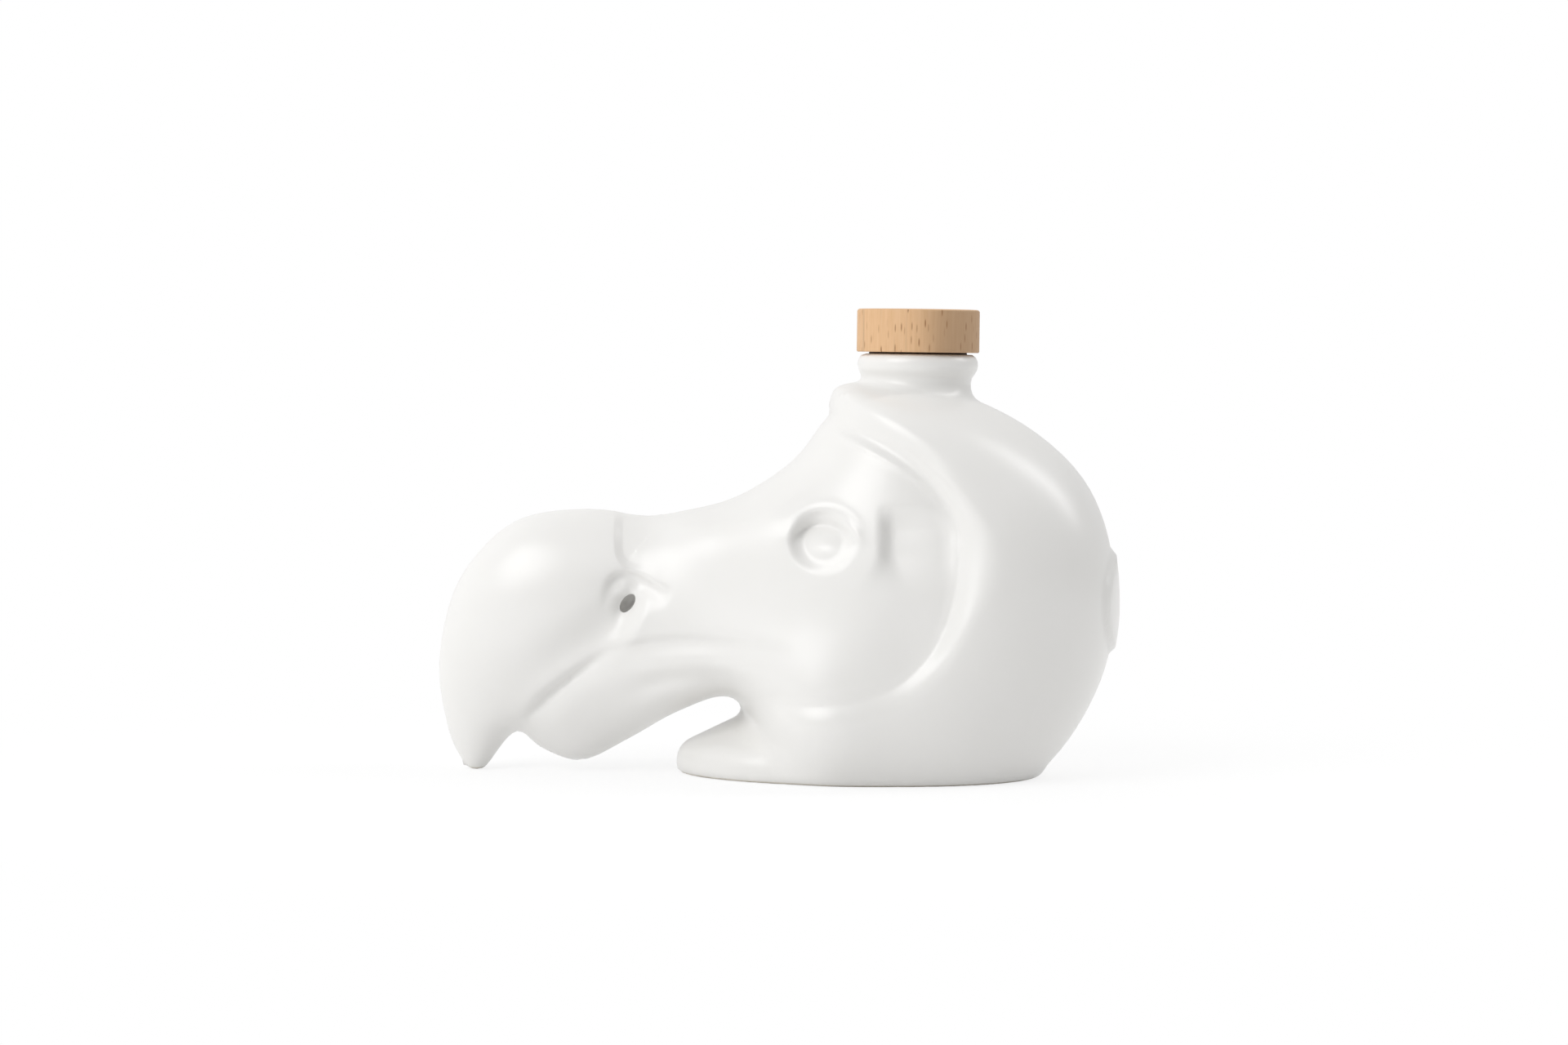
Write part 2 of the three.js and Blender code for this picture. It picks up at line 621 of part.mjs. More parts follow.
function shankGeometry() {
  const bottom = LIP_TOP - SHANK_LENGTH;
  return turned(profile(
    [0, bottom], [shankRadius - SHANK_CHAMFER, bottom], [shankRadius, bottom + SHANK_CHAMFER],
    [shankRadius, seat], [SPIGOT_DIAMETER / 2, seat], [SPIGOT_DIAMETER / 2, seat + SPIGOT_LENGTH],
    [0, seat + SPIGOT_LENGTH]));
}

function washerGeometry() {
  const hole = shankRadius + FIT_CLEARANCE;
  const rim = WASHER_DIAMETER / 2;
  return turned(profile([hole, LIP_TOP], [rim, LIP_TOP], [rim, seat], [hole, seat], [hole, LIP_TOP]));
}

// Assembly
const bottle = new THREE.Group();

function addPiece(name, geometry, color, roughness) {
  const mesh = new THREE.Mesh(geometry, new THREE.MeshStandardMaterial({ color, roughness, metalness: 0 }));
  mesh.name = name;
  bottle.add(mesh);
}

addPiece('bottle_body', bottleGeometry(), 0xe9e8e6, 0.25);
addPiece('cap_top', capGeometry(), 0xc39a6f, 0.6);
addPiece('stopper_shank', shankGeometry(), 0xb78d5f, 0.85);
addPiece('sealing_washer', washerGeometry(), 0x3a2a20, 0.7);

export default bottle;
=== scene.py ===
"""Looks of a glazed ceramic bird's-head liquor bottle with a beech-topped cork stopper."""

import json
import math

import bpy
import numpy as np
from bpy.props import FloatProperty, FloatVectorProperty, PointerProperty, StringProperty
from mathutils import Matrix, Vector

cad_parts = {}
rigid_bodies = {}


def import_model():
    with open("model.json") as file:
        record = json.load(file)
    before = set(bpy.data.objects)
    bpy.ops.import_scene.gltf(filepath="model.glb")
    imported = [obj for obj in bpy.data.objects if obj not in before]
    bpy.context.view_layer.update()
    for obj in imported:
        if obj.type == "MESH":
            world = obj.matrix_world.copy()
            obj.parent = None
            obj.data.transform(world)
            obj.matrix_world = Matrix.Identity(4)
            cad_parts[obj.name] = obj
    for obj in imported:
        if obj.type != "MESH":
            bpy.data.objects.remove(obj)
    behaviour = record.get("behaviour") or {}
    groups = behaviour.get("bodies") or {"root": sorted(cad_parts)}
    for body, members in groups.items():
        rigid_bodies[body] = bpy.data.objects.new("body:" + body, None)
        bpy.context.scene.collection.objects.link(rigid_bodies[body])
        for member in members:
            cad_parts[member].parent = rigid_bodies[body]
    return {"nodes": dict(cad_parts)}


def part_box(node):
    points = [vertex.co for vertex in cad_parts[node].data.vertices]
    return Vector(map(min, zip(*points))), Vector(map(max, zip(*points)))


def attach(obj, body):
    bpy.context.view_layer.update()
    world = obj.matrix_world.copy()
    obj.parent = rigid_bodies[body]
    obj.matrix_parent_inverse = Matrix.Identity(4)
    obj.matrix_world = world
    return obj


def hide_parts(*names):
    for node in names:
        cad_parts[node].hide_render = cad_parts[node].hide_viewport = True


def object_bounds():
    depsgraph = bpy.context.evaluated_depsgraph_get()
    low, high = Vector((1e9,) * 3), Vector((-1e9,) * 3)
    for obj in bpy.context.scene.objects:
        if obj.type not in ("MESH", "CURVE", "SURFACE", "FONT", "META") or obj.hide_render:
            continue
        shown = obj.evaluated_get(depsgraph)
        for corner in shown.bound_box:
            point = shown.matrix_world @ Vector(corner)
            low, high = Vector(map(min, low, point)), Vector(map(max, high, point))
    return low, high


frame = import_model()
CAD_BOX = [list(corner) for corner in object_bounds()]
CAP_TOP = CAD_BOX[1][2]

bl_info = {
    "name": "Bird's-head bottle",
    "version": (1, 0, 0),
    "blender": (4, 5, 0),
    "location": "3D View > Sidebar > Bottle",
    "description": "Sculpts, glazes and stages a ceramic bird's-head bottle round its CAD frame",
    "category": "Object",
}

MM = 0.001

# Side view of the head on its plane of symmetry, in millimetres: beak to the left, table at zero
HEAD_OUTLINE = [
    (-110.4, 34), (-107.2, 13), (-102, 2), (-97.3, -4), (-93, 3), (-84.7, 12.4), (-76, 6.8),
    (-63.2, 3.2), (-47.8, 10.6), (-33, 19.2), (-18, 24.6), (-10.6, 21), (-6, 8), (0, -6), (10, -14),
    (26, -18), (64, -15), (85.5, 0.5), (98.5, 16), (107.6, 36), (110.5, 57), (107, 82), (96, 101.7),
    (74, 118), (46, 127.5), (27.5, 125.8), (20, 123.6), (16.5, 120.8), (16.2, 117.6), (12.6, 112.9),
    (1.8, 99.6), (-16, 88.2), (-38, 83.6), (-62, 85.6), (-83, 82.6), (-96.4, 72.6), (-106.2, 57),
]
# Half-width of the head at places on that view: along, up, half-width
HALF_WIDTHS = [
    (-97.3, 6, 5), (-102, 24, 10), (-80, 52, 23), (-64, 13, 9), (-38, 56, 21), (-13, 46, 27), (15, 76, 40),
    (36, 70, 44), (62, 66, 51), (52, 4, 42), (45, 30, 47), (0, 14, 37), (80, 20, 33),
    (45, 115, 31), (99, 58, 32),
]
WIDTH_SPREAD = 20

# Lines carved into the face, as places on that view
HOOD_CREASE = [
    (14, 115.5), (19.1, 112.6), (30.7, 107.1), (43.7, 99.5), (52.6, 90.7), (56.8, 83), (57.4, 77.1),
    (57, 68.6), (55.5, 59.1), (53.1, 50.8), (48, 42), (38.6, 33.1), (27.7, 28.4), (13.1, 25.9), (0.1, 25.7),
    (-9.1, 21.8),
]
SHEATH_EDGE = [
    (-52.2, 90), (-51.8, 82), (-51.4, 74.1), (-50.3, 70.5), (-47.6, 68.2), (-42, 67.6), (-34, 68),
]
HORN_REAR = [
    (-41, 90), (-43, 76), (-45.4, 64), (-47.3, 57), (-49.1, 52.8), (-50.9, 50.2), (-53.8, 47.5),
    (-58.4, 44.5), (-66.5, 40), (-77, 33), (-87, 25.5), (-98, 17), (-110, 8),
]
BRIDGE_SHOULDER = [(17, 100), (8, 93), (0, 88), (-8, 84.6), (-18, 82), (-28, 80.6), (-36, 79.8), (-45, 79)]
MOUTH = [
    (8, 41.5), (-8, 43.4), (-26.3, 44.4), (-36.5, 43.7), (-45.3, 42.2), (-54, 39.8), (-58, 37.4),
    (-63.6, 33.4), (-69.2, 29), (-74.7, 24.3), (-79.1, 19.5), (-84, 13),
]
JAW_FOLD = [(-1.2, 28.8), (-15.7, 32.8), (-23.6, 33.4), (-32.8, 32.1), (-42, 29.7), (-51.3, 26.8)]
NOSTRIL_ARCH = [
    (-56, 50), (-54.9, 57.2), (-54, 61.2), (-52.4, 63.8), (-49.3, 65.2), (-45.6, 64.2), (-42.4, 62.4),
    (-38.7, 60.6), (-35.5, 59.7), (-33.5, 59),
]
TEMPLE = (34, 78.8)
EYE = (14.5, 77.7)
EYEBALL = (14.6, 76.4)
NOSTRIL = (-48.8, 56)

# Hood: the parts of the crease, as shares of its length, where its front ends and its throat begins
HOOD_FRONT = (0.12, 0.32)
HOOD_THROAT = (0.55, 0.8)
HOOD_SIDE = 0.43
HOOD_SIDE_SPAN = 0.15
HOOD_END = 9
FACE_RECESS_WIDTH = 22
RIM_SLOPE = 2.5
RIM_SIDE_SLOPE = 6.5
RIM_THROAT_SLOPE = 3
RIM_FRONT_ROLL = (1, 12)
RIM_BAND = 6
RIM_FRONT_BAND = 4
RIM_FADE = 24
RIM_FRONT_FADE = 12
BEAD_WIDTH = 1.2
FRONT_GROOVE = 0.7
FRONT_GROOVE_WIDTH = 1.8
FACE_GROOVE = 0.4
FACE_GROOVE_WIDTH = 2.5

# Temple: how softly its front edge falls, there and lower down, and how near it comes to the rim
TEMPLE_BEVEL = 3
TEMPLE_LOWER_BEVEL = 8
TEMPLE_TO_RIM = 6

# Eye, as half-lengths and half-heights in the side view, and the height of its ball and lids
SOCKET_HALVES = (10.9, 10.4)
EYEBALL_HALVES = (7.9, 5.5)
EYEBALL_HEIGHT = 1.6
LID_HEIGHT = 0.5
LID_CREASE = 0.6
SOCKET_RIM = 0.35

# Beak: heights or depths and widths of its carving
SHEATH_RAMP = 2.6
SHEATH_WIDTH = (12, 8)
TUCK_WIDTH = 8.5
TUCK_REAR = (7, 11)
NOSTRIL_SLANT = (0.6, 0.8)
NOSTRIL_DIP = 4
NOSTRIL_DIP_WIDTH = 2.6
NOSTRIL_DIP_LENGTH = 1.6
NOSTRIL_WING = 1.2
NOSTRIL_WING_AWAY = 2.5
NOSTRIL_WING_SIZE = (7, 5)
NOSTRIL_PIT_AWAY = 0.8
NOSTRIL_PIT_RADII = (2.2, 5, 3.8)
NOSTRIL_PIT_SIDE = 15
NOSTRIL_PIT_TURN = 37
ARCH_DEPTH = 2.5
ARCH_WIDTH = 3.4
BRIDGE_HEIGHT = 3.4
BRIDGE_WIDTH = 5
MOUTH_WIDTH = 2.3
MOUTH_CREASE = 1.3
MOUTH_CREASE_WIDTH = 1.5
MOUTH_CREASE_START = 5
JAW_FOLD_DEPTH = 1.6
JAW_FOLD_WIDTH = 3.6

# Neck, lip and foot
NECK_X = 45
NECK_RADIUS = 17.4
LIP_RADIUS = 19.6
LIP_TOP = 137.3
LIP_DEPTH = 6.2
LIP_EDGE = 2.7
BORE_RADIUS = 11
BORE_DEPTH = 34
FOOT_CENTRE = 27.1
FOOT_HALF_LENGTH = 59.3
FOOT_HALF_WIDTH = 41
FOOT_EDGE = 8.5
FOOT_RISE = 0.5
FOOT_ROUND = 4.5
FOOT_RING = 7
FOOT_RECESS = 1.2
NECK_BLEND = 4
LIP_BLEND = 3
FOOT_BLEND = 5
UNDER_ROUND = 2.5

# Plain raised pad on the back of the head
PAD_CENTRE = 58
PAD_HALF_WIDTH = 24
PAD_HALF_HEIGHT = 16.5
PAD_HEIGHT = 1.5
PAD_START = 80

# Inside of the bottle
CAVITY_CENTRE = (42, 0, 62)
CAVITY_RADII = (50, 34, 46)

# Faces of the skin that are made finer: the carved region in the side view, and round the small features
CARVED_ALONG = (-88, 66)
CARVED_UP = (18, 112)
CARVED_NECK = 22
CARVED_SIDE = 6
FINE_SIDE = 4
FINE_PLACES = ((EYE, 14), (NOSTRIL, 11), (SHEATH_EDGE[2], 13))

# Studio, in metres
FLOOR_SIZE = 8
KEY_AT = (-0.75, -0.85, 0.85)
KEY_SIZE = (0.9, 0.9)
STRIP_AT = (0.89, 0.18, 0.8)
STRIP_SIZE = (0.07, 0.9)
LAMPS_AIM = (0, 0, 0.07)
SKY_SIDE = (-0.35, 0.59, 0.73)
SKY_SHADE = 0.05


def linear(colour):
    """Linear RGBA of an sRGB hex colour."""
    parts = [int(colour[i:i + 2], 16) / 255 for i in (1, 3, 5)]
    return [c / 12.92 if c <= 0.04045 else ((c + 0.055) / 1.055) ** 2.4 for c in parts] + [1.0]


def add_node(tree, kind, inputs=(), **settings):
    """A node of a tree with its settings, and its inputs as values or as (node, output) links."""
    made = tree.nodes.new(kind)
    for name, value in settings.items():
        setattr(made, name, value)
    for name, value in dict(inputs).items():
        if isinstance(value, tuple) and isinstance(value[0], bpy.types.Node):
            tree.links.new(value[0].outputs[value[1]], made.inputs[name])
        else:
            made.inputs[name].default_value = value
    return made


# The form of the head


def spline(points, closed=False, steps=6):
    """Points along a smooth curve through the given ones."""
    p = np.array(points, float)
    ends = (p[-1:], p[:2]) if closed else (2 * p[:1] - p[1:2], 2 * p[-1:] - p[-2:-1])
    q = np.vstack([ends[0], p, ends[1]])
    w = (np.arange(steps) / steps)[:, None]
    made = []
    for a, b, c, d in zip(q[:-3], q[1:-2], q[2:-1], q[3:]):
        u, v = (c - a) / 2, (d - b) / 2
        made.append((2 * b - 2 * c + u + v) * w**3 + (3 * c - 3 * b - 2 * u - v) * w**2 + u * w + b)
    last = made[0][:1] if closed else p[-1:]
    return np.vstack(made + [last])


def reach(x, z, ring):
    """Harmonic mean of the distances to a closed outline in every direction, negative outside it."""
    total = np.zeros_like(x)
    for a, b in zip(ring[:-1], ring[1:]):
        ax, az, bx, bz = a[0] - x, a[1] - z, b[0] - x, b[1] - z
        la, lb = np.hypot(ax, az) + 1e-6, np.hypot(bx, bz) + 1e-6
        total += (ax * bz - az * bx) / (la * lb + ax * bx + az * bz + 1e-9) * (1 / la + 1 / lb)
    return 2 * np.pi / total


def along(line, x, z):
    """Signed distance to a line, positive on its left, and the share of its length passed."""
    best, offset, share = np.full_like(x, np.inf), np.zeros_like(x), np.zeros_like(x)
    spans = len(line) - 1
    for i in range(spans):
        ex, ez = line[i + 1] - line[i]
        px, pz = x - line[i][0], z - line[i][1]
        t = np.clip((px * ex + pz * ez) / (ex * ex + ez * ez), 0, 1)
        d = np.hypot(px - t * ex, pz - t * ez)
        near = d < best
        best[near] = d[near]
        offset[near] = (np.sign(ex * pz - ez * px) * d)[near]
        share[near] = ((i + t) / spans)[near]
    return offset, share


def smooth(value, low, high):
    t = np.clip((value - low) / (high - low), 0, 1)
    return t * t * (3 - 2 * t)


def bell(distance, width):
    return np.exp(-((distance / width) ** 2))


def blend(a, b, width):
    """Smooth union of two distances."""
    h = np.maximum(width - np.abs(a - b), 0) / width
    return np.minimum(a, b) - h * h * width / 4


def near_line(points, width, x, z, fade=0.3, lee=1, crisp=False):
    """A ridge along a line that dies out at both its ends.

    It is wider on the line's left by the factor lee, and on its right it is soft or has a crisp crest.
    """
    line = spline(points)
    made = np.zeros_like(x)
    low, high = line.min(0) - 3 * lee * width, line.max(0) + 3 * lee * width
    close = (x > low[0]) & (x < high[0]) & (z > low[1]) & (z < high[1])
    offset, share = along(line, x[close], z[close])
    right = np.exp((0.8 - np.hypot(offset, 0.8)) / width) if crisp else bell(offset, width)
    made[close] = np.where(offset > 0, bell(offset, lee * width), right)
    made[close] *= smooth(share, 0, fade) * smooth(1 - share, 0, fade)
    return made


def hollow_line(points, width, x, z):
    """A soft hollow along a line, without a crease anywhere, deepest in the middle of the line."""
    line = spline(points)
    steps = np.hypot(*np.diff(line, axis=0).T)
    share = (np.arange(len(steps)) + 0.5) / len(steps)
    weight = smooth(share, 0.12, 0.34) * smooth(1 - share, 0.12, 0.5) * steps / (width * math.sqrt(math.pi))
    made = np.zeros_like(x)
    for (px, pz), part in zip((line[:-1] + line[1:]) / 2, weight):
        if part > 0:
            made += part * bell(np.hypot(x - px, z - pz), width)
    return made


class Form:
    """The bottle's outer surface as a distance in millimetres, from tables over the side view."""

    STEP = 0.4
    LOW = (-116, -24)
    HIGH = (116, 134)

    def __init__(self, carving):
        xs = np.arange(self.LOW[0], self.HIGH[0], self.STEP)
        zs = np.arange(self.LOW[1], self.HIGH[1], self.STEP)
        grid = np.meshgrid(xs, zs, indexing="ij")
        x, z = grid[0].ravel(), grid[1].ravel()
        ring = spline(HEAD_OUTLINE, closed=True, steps=5)
        places = np.array(HALF_WIDTHS, float)
        fullness = places[:, 2] ** 2 / reach(places[:, 0], places[:, 1], ring)
        total, weights = np.zeros_like(x), np.zeros_like(x)
        for (px, pz, _), value in zip(places, fullness):
            away = ((x - px) ** 2 + (z - pz) ** 2) / (2 * WIDTH_SPREAD**2)
            weight = np.exp(-away) + 1e-6 / (1 + away)
            total += weight * value
            weights += weight
        self.square = (total / weights * reach(x, z, ring)).reshape(grid[0].shape)
        self.slopes = np.gradient(self.square, self.STEP)
        self.relief = carving(x, z).reshape(grid[0].shape)

    def look_up(self, tables, x, z):
        u = np.clip((x - self.LOW[0]) / self.STEP, 0, self.square.shape[0] - 2)
        v = np.clip((z - self.LOW[1]) / self.STEP, 0, self.square.shape[1] - 2)
        i, j = u.astype(int), v.astype(int)
        s, t = u - i, v - j
        return [
            (a[i, j] * (1 - s) + a[i + 1, j] * s) * (1 - t)
            + (a[i, j + 1] * (1 - s) + a[i + 1, j + 1] * s) * t
            for a in tables
        ]

    def distance(self, p):
        x, y, z = p.T
        square, slope_x, slope_z, relief = self.look_up([self.square, *self.slopes, self.relief], x, z)
        head = (y * y - square) / np.sqrt(slope_x**2 + 4 * y * y + slope_z**2 + 1e-6) - relief
        pad = ((y / PAD_HALF_WIDTH) ** 2 + ((z - PAD_CENTRE) / PAD_HALF_HEIGHT) ** 2) ** 2
        head -= PAD_HEIGHT * (1 - smooth(pad, 0.8, 1.15)) * (x > PAD_START)
        radius = np.hypot(x - NECK_X, y)
        neck = np.maximum(np.maximum(radius - NECK_RADIUS, z - LIP_TOP + 1), 100 - z)
        out = radius - LIP_RADIUS + LIP_EDGE
        up = np.abs(z - LIP_TOP + LIP_DEPTH / 2) - LIP_DEPTH / 2 + LIP_EDGE
        corner = np.hypot(np.maximum(out, 0), np.maximum(up, 0))
        lip = corner + np.minimum(np.maximum(out, up), 0) - LIP_EDGE
        body = blend(head, blend(neck, lip, LIP_BLEND), NECK_BLEND)
        turn = np.hypot((x - FOOT_CENTRE) / FOOT_HALF_LENGTH, y / FOOT_HALF_WIDTH) + 1e-9
        pull = np.hypot((x - FOOT_CENTRE) / FOOT_HALF_LENGTH**2, y / FOOT_HALF_WIDTH**2) + 1e-9
        out = turn * (turn - 1) / pull
        top = (z - FOOT_EDGE + FOOT_RISE * out) / math.hypot(1, FOOT_RISE)
        foot = -blend(-out, -top, FOOT_ROUND)
        body = blend(body, foot, FOOT_BLEND)
        return -blend(-body, z, UNDER_ROUND)

    def pull(self, p, rounds=6):
        """Points moved onto the surface."""
        step = 0.2
        for _ in range(rounds):
            here = self.distance(p)
            slope = np.stack([(self.distance(p + step * axis) - here) / step for axis in np.eye(3)], 1)
            move = here[:, None] * slope / ((slope**2).sum(1)[:, None] + 1e-3)
            size = np.linalg.norm(move, axis=1)[:, None]
            p = p - move * np.minimum(1, 1.2 / (size + 1e-9))
        return p


def carved_face(sculpt):
    """Height of the carving over the side view, as a function of the place on it."""

    def hood(x, z):
        line = spline(HOOD_CREASE)
        offset, share = along(line, x, z)
        ends = 1
        for end in (line[0], line[-1]):
            ends = ends * (1 - bell(np.hypot(x - end[0], z - end[1]), HOOD_END))
        front = 1 - smooth(share, *HOOD_FRONT)
        side = (1 - front) * (1 - smooth(share, *HOOD_THROAT))
        sunk = sculpt.face_recess / MM * (0.3 + 0.7 * side)
        rim = sculpt.hood_rim / MM * (0.5 + 0.5 * side + 0.7 * front)
        inner = -sunk * smooth(offset, -FACE_RECESS_WIDTH, 0)
        width = RIM_SLOPE + RIM_SIDE_SLOPE * bell(share - HOOD_SIDE, HOOD_SIDE_SPAN)
        width += RIM_THROAT_SLOPE * smooth(share, 0.55, 0.75)
        slope = blend(offset / width, 1, 0.6) * (1 - front) + smooth(offset, *RIM_FRONT_ROLL) * front
        past = np.maximum(offset - RIM_BAND - RIM_FRONT_BAND * front, 0)
        outer = rim * slope * bell(past, RIM_FADE - RIM_FRONT_FADE * front)
        outer -= sunk * (1 - np.maximum(slope, 0))
        bead = (0.1 + 0.5 * front) * bell(offset + 1, BEAD_WIDTH)
        groove = FRONT_GROOVE * front * bell(offset - 2, FRONT_GROOVE_WIDTH)
        groove += FACE_GROOVE * (1 - front) * bell(offset + 2, FACE_GROOVE_WIDTH)
        return ends * (np.where(offset < 0, inner, outer) + bead - groove)

    def temple(x, z):
        behind, above = x - TEMPLE[0], z - TEMPLE[1]
        offset, _ = along(spline(HOOD_CREASE), x, z)
        bevel = TEMPLE_BEVEL + TEMPLE_LOWER_BEVEL * smooth(-above, 4, 20)
        drop = smooth(behind, -bevel, bevel) * (1 - 0.6 * smooth(behind, 2, 20))
        drop *= 1 - smooth(offset, -TEMPLE_TO_RIM, 0)
        upright = 1 - smooth(above, 3, 12)
        hanging = 0.25 * smooth(z, 30, 50) + 0.75 * smooth(above, -19, -4)
        return -sculpt.temple_drop / MM * drop * upright * hanging

    def eye(x, z):
        across, up = (x - EYE[0]) / SOCKET_HALVES[0], (z - EYE[1]) / SOCKET_HALVES[1]
        socket = np.hypot(across, up)
        ball = np.hypot((x - EYEBALL[0]) / EYEBALL_HALVES[0], (z - EYEBALL[1]) / EYEBALL_HALVES[1])
        depth = sculpt.eye_depth / MM * np.clip(0.55 + 0.45 * up - 0.3 * across, 0.15, 1)
        made = EYEBALL_HEIGHT * (1 - smooth(ball, 0, 1.2)) - depth * (1 - smooth(socket, 0.5, 1.06))
        lid = LID_HEIGHT * bell(ball - 1.5, 0.25) - LID_CREASE * bell(ball - 1.12, 0.2)
        made += lid * smooth(up, -0.2, 0.4)
        return made + SOCKET_RIM * bell(socket - 1.2, 0.14) * smooth(up, 0.2, 1)

    def sheath(x, z):
        offset, share = along(spline(SHEATH_EDGE), x, z)
        height = sculpt.sheath_step / MM * smooth(share, 0.05, 0.25) * smooth(1 - share, 0.05, 0.45)
        reach_out = bell(offset, np.where(offset < 0, *SHEATH_WIDTH))
        return height * reach_out * (0.5 - np.clip(0.5 + offset / SHEATH_RAMP, 0, 1))

    def horn(x, z):
        offset, _ = along(spline(HORN_REAR), x, z)
        rear = TUCK_REAR[0] + TUCK_REAR[1] * smooth(-x, 40, 66)
        tuck = hollow_line(HORN_REAR, TUCK_WIDTH, x, z) * (1 - smooth(offset, -0.8, rear))
        return -sculpt.horn_tuck / MM * tuck

    def nostril(x, z):
        away_x, away_z = x - NOSTRIL[0], z - NOSTRIL[1]
        lengthwise = NOSTRIL_SLANT[0] * away_x + NOSTRIL_SLANT[1] * away_z
        crosswise = NOSTRIL_SLANT[1] * away_x - NOSTRIL_SLANT[0] * away_z
        wing_x = (away_x - NOSTRIL_WING_AWAY) / NOSTRIL_WING_SIZE[0]
        wing_z = (away_z - NOSTRIL_WING_AWAY) / NOSTRIL_WING_SIZE[1]
        made = -NOSTRIL_DIP * bell(np.hypot(lengthwise / NOSTRIL_DIP_LENGTH, crosswise), NOSTRIL_DIP_WIDTH)
        made -= NOSTRIL_WING * bell(np.hypot(wing_x, wing_z), 1)
        return made - ARCH_DEPTH * near_line(NOSTRIL_ARCH, ARCH_WIDTH, x, z, fade=0.4, lee=0.45)

    def jaws(x, z):
        made = -sculpt.mouth_depth / MM * near_line(MOUTH, MOUTH_WIDTH, x, z, fade=0.18, lee=2.2)
        made -= MOUTH_CREASE * near_line(MOUTH[MOUTH_CREASE_START:], MOUTH_CREASE_WIDTH, x, z, fade=0.4)
        made -= JAW_FOLD_DEPTH * near_line(JAW_FOLD, JAW_FOLD_WIDTH, x, z)
        return made + BRIDGE_HEIGHT * near_line(
            BRIDGE_SHOULDER, BRIDGE_WIDTH, x, z, fade=0.36, lee=2.8, crisp=True)

    parts = (hood, temple, eye, sheath, horn, nostril, jaws)
    return lambda x, z: sum(part(x, z) for part in parts)


# Modelling helpers


def only(piece):
    """Selects one object alone and makes it the active one."""
    bpy.ops.object.select_all(action="DESELECT")
    piece.select_set(True)
    bpy.context.view_layer.objects.active = piece


def pick(piece, test):
    """Enters edit mode with just the faces selected whose centre and normal pass a test."""
    only(piece)
    bpy.ops.object.mode_set(mode="EDIT")
    bpy.ops.mesh.select_mode(type="FACE")
    bpy.ops.mesh.select_all(action="DESELECT")
    bpy.ops.object.mode_set(mode="OBJECT")
    for face in piece.data.polygons:
        face.select = test(face.center, face.normal)
    bpy.ops.object.mode_set(mode="EDIT")


def points_of(piece):
    flat = np.zeros(3 * len(piece.data.vertices), np.float32)
    piece.data.vertices.foreach_get("co", flat)
    return flat.reshape(-1, 3).astype(float)


def put_points(piece, points):
    piece.data.vertices.foreach_set("co", points.astype(np.float32).ravel())
    piece.data.update()


def apply_modifier(piece, kind, **settings):
    only(piece)
    made = piece.modifiers.new(kind.title(), kind)
    for name, value in settings.items():
        setattr(made, name, value)
    bpy.ops.object.modifier_apply(modifier=made.name)


def cut(piece, cutter):
    """Takes a cutter's space out of a piece and removes the cutter."""
    apply_modifier(piece, "BOOLEAN", operation="DIFFERENCE", solver="EXACT", object=cutter)
    bpy.data.objects.remove(cutter)


def copied(node, name):
    """A loose copy of a CAD node with its doubles merged."""
    only(frame["nodes"][node])
    bpy.ops.object.duplicate()
    piece = bpy.context.object
    bpy.ops.object.parent_clear(type="CLEAR_KEEP_TRANSFORM")
    piece.name = piece.data.name = name
    for key in [key for key in piece.keys() if key.startswith("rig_")]:
        del piece[key]
    bpy.ops.object.mode_set(mode="EDIT")
    bpy.ops.mesh.select_all(action="SELECT")
    bpy.ops.mesh.remove_doubles(threshold=1e-6)
    bpy.ops.object.mode_set(mode="OBJECT")
    return piece


def cylinder(name, radius, low, high, at=(NECK_X * MM, 0), sides=128):
    """A fresh upright cylinder between two heights, with its place in its mesh."""
    bpy.ops.object.select_all(action="DESELECT")
    bpy.ops.mesh.primitive_cylinder_add(
        vertices=sides, radius=radius, depth=high - low, location=(at[0], at[1], (low + high) / 2))
    bpy.ops.object.transform_apply(location=True, rotation=True, scale=True)
    piece = bpy.context.object
    piece.name = piece.data.name = name
    return piece


def ellipsoid(centre, radii, turn=0.0, segments=64):
    """A fresh ellipsoid in millimetres, turned about Y, with its place in its mesh."""
    bpy.ops.object.select_all(action="DESELECT")
    bpy.ops.mesh.primitive_uv_sphere_add(
        segments=segments, ring_count=segments // 2, radius=1, location=[c * MM for c in centre],
        rotation=(0, turn, 0), scale=[r * MM for r in radii])
    bpy.ops.object.transform_apply(location=True, rotation=True, scale=True)
    return bpy.context.object


def round_edges(piece, test, offset, segments):
    """Bevels the edges round the faces that pass a test."""
    pick(piece, test)
    bpy.ops.mesh.bevel(offset=offset, segments=segments, affect="EDGES")
    bpy.ops.object.mode_set(mode="OBJECT")


def faces_up(centre, normal):
    return normal.z > 0.9


def faces_down(centre, normal):
    return normal.z < -0.9


def finished(piece, node, body, material, angle):
    """Smooths a piece, gives it its material and sets it in the frame for its CAD node."""
    only(piece)
    bpy.ops.object.shade_smooth_by_angle(angle=angle)
    piece.data.materials.clear()
    piece.data.materials.append(material)
    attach(piece, body)
    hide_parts(node)


# Materials


def new_material(name):
    material = bpy.data.materials.new(name)
    material.use_nodes = True
    material.node_tree.nodes.clear()
    return material, material.node_tree


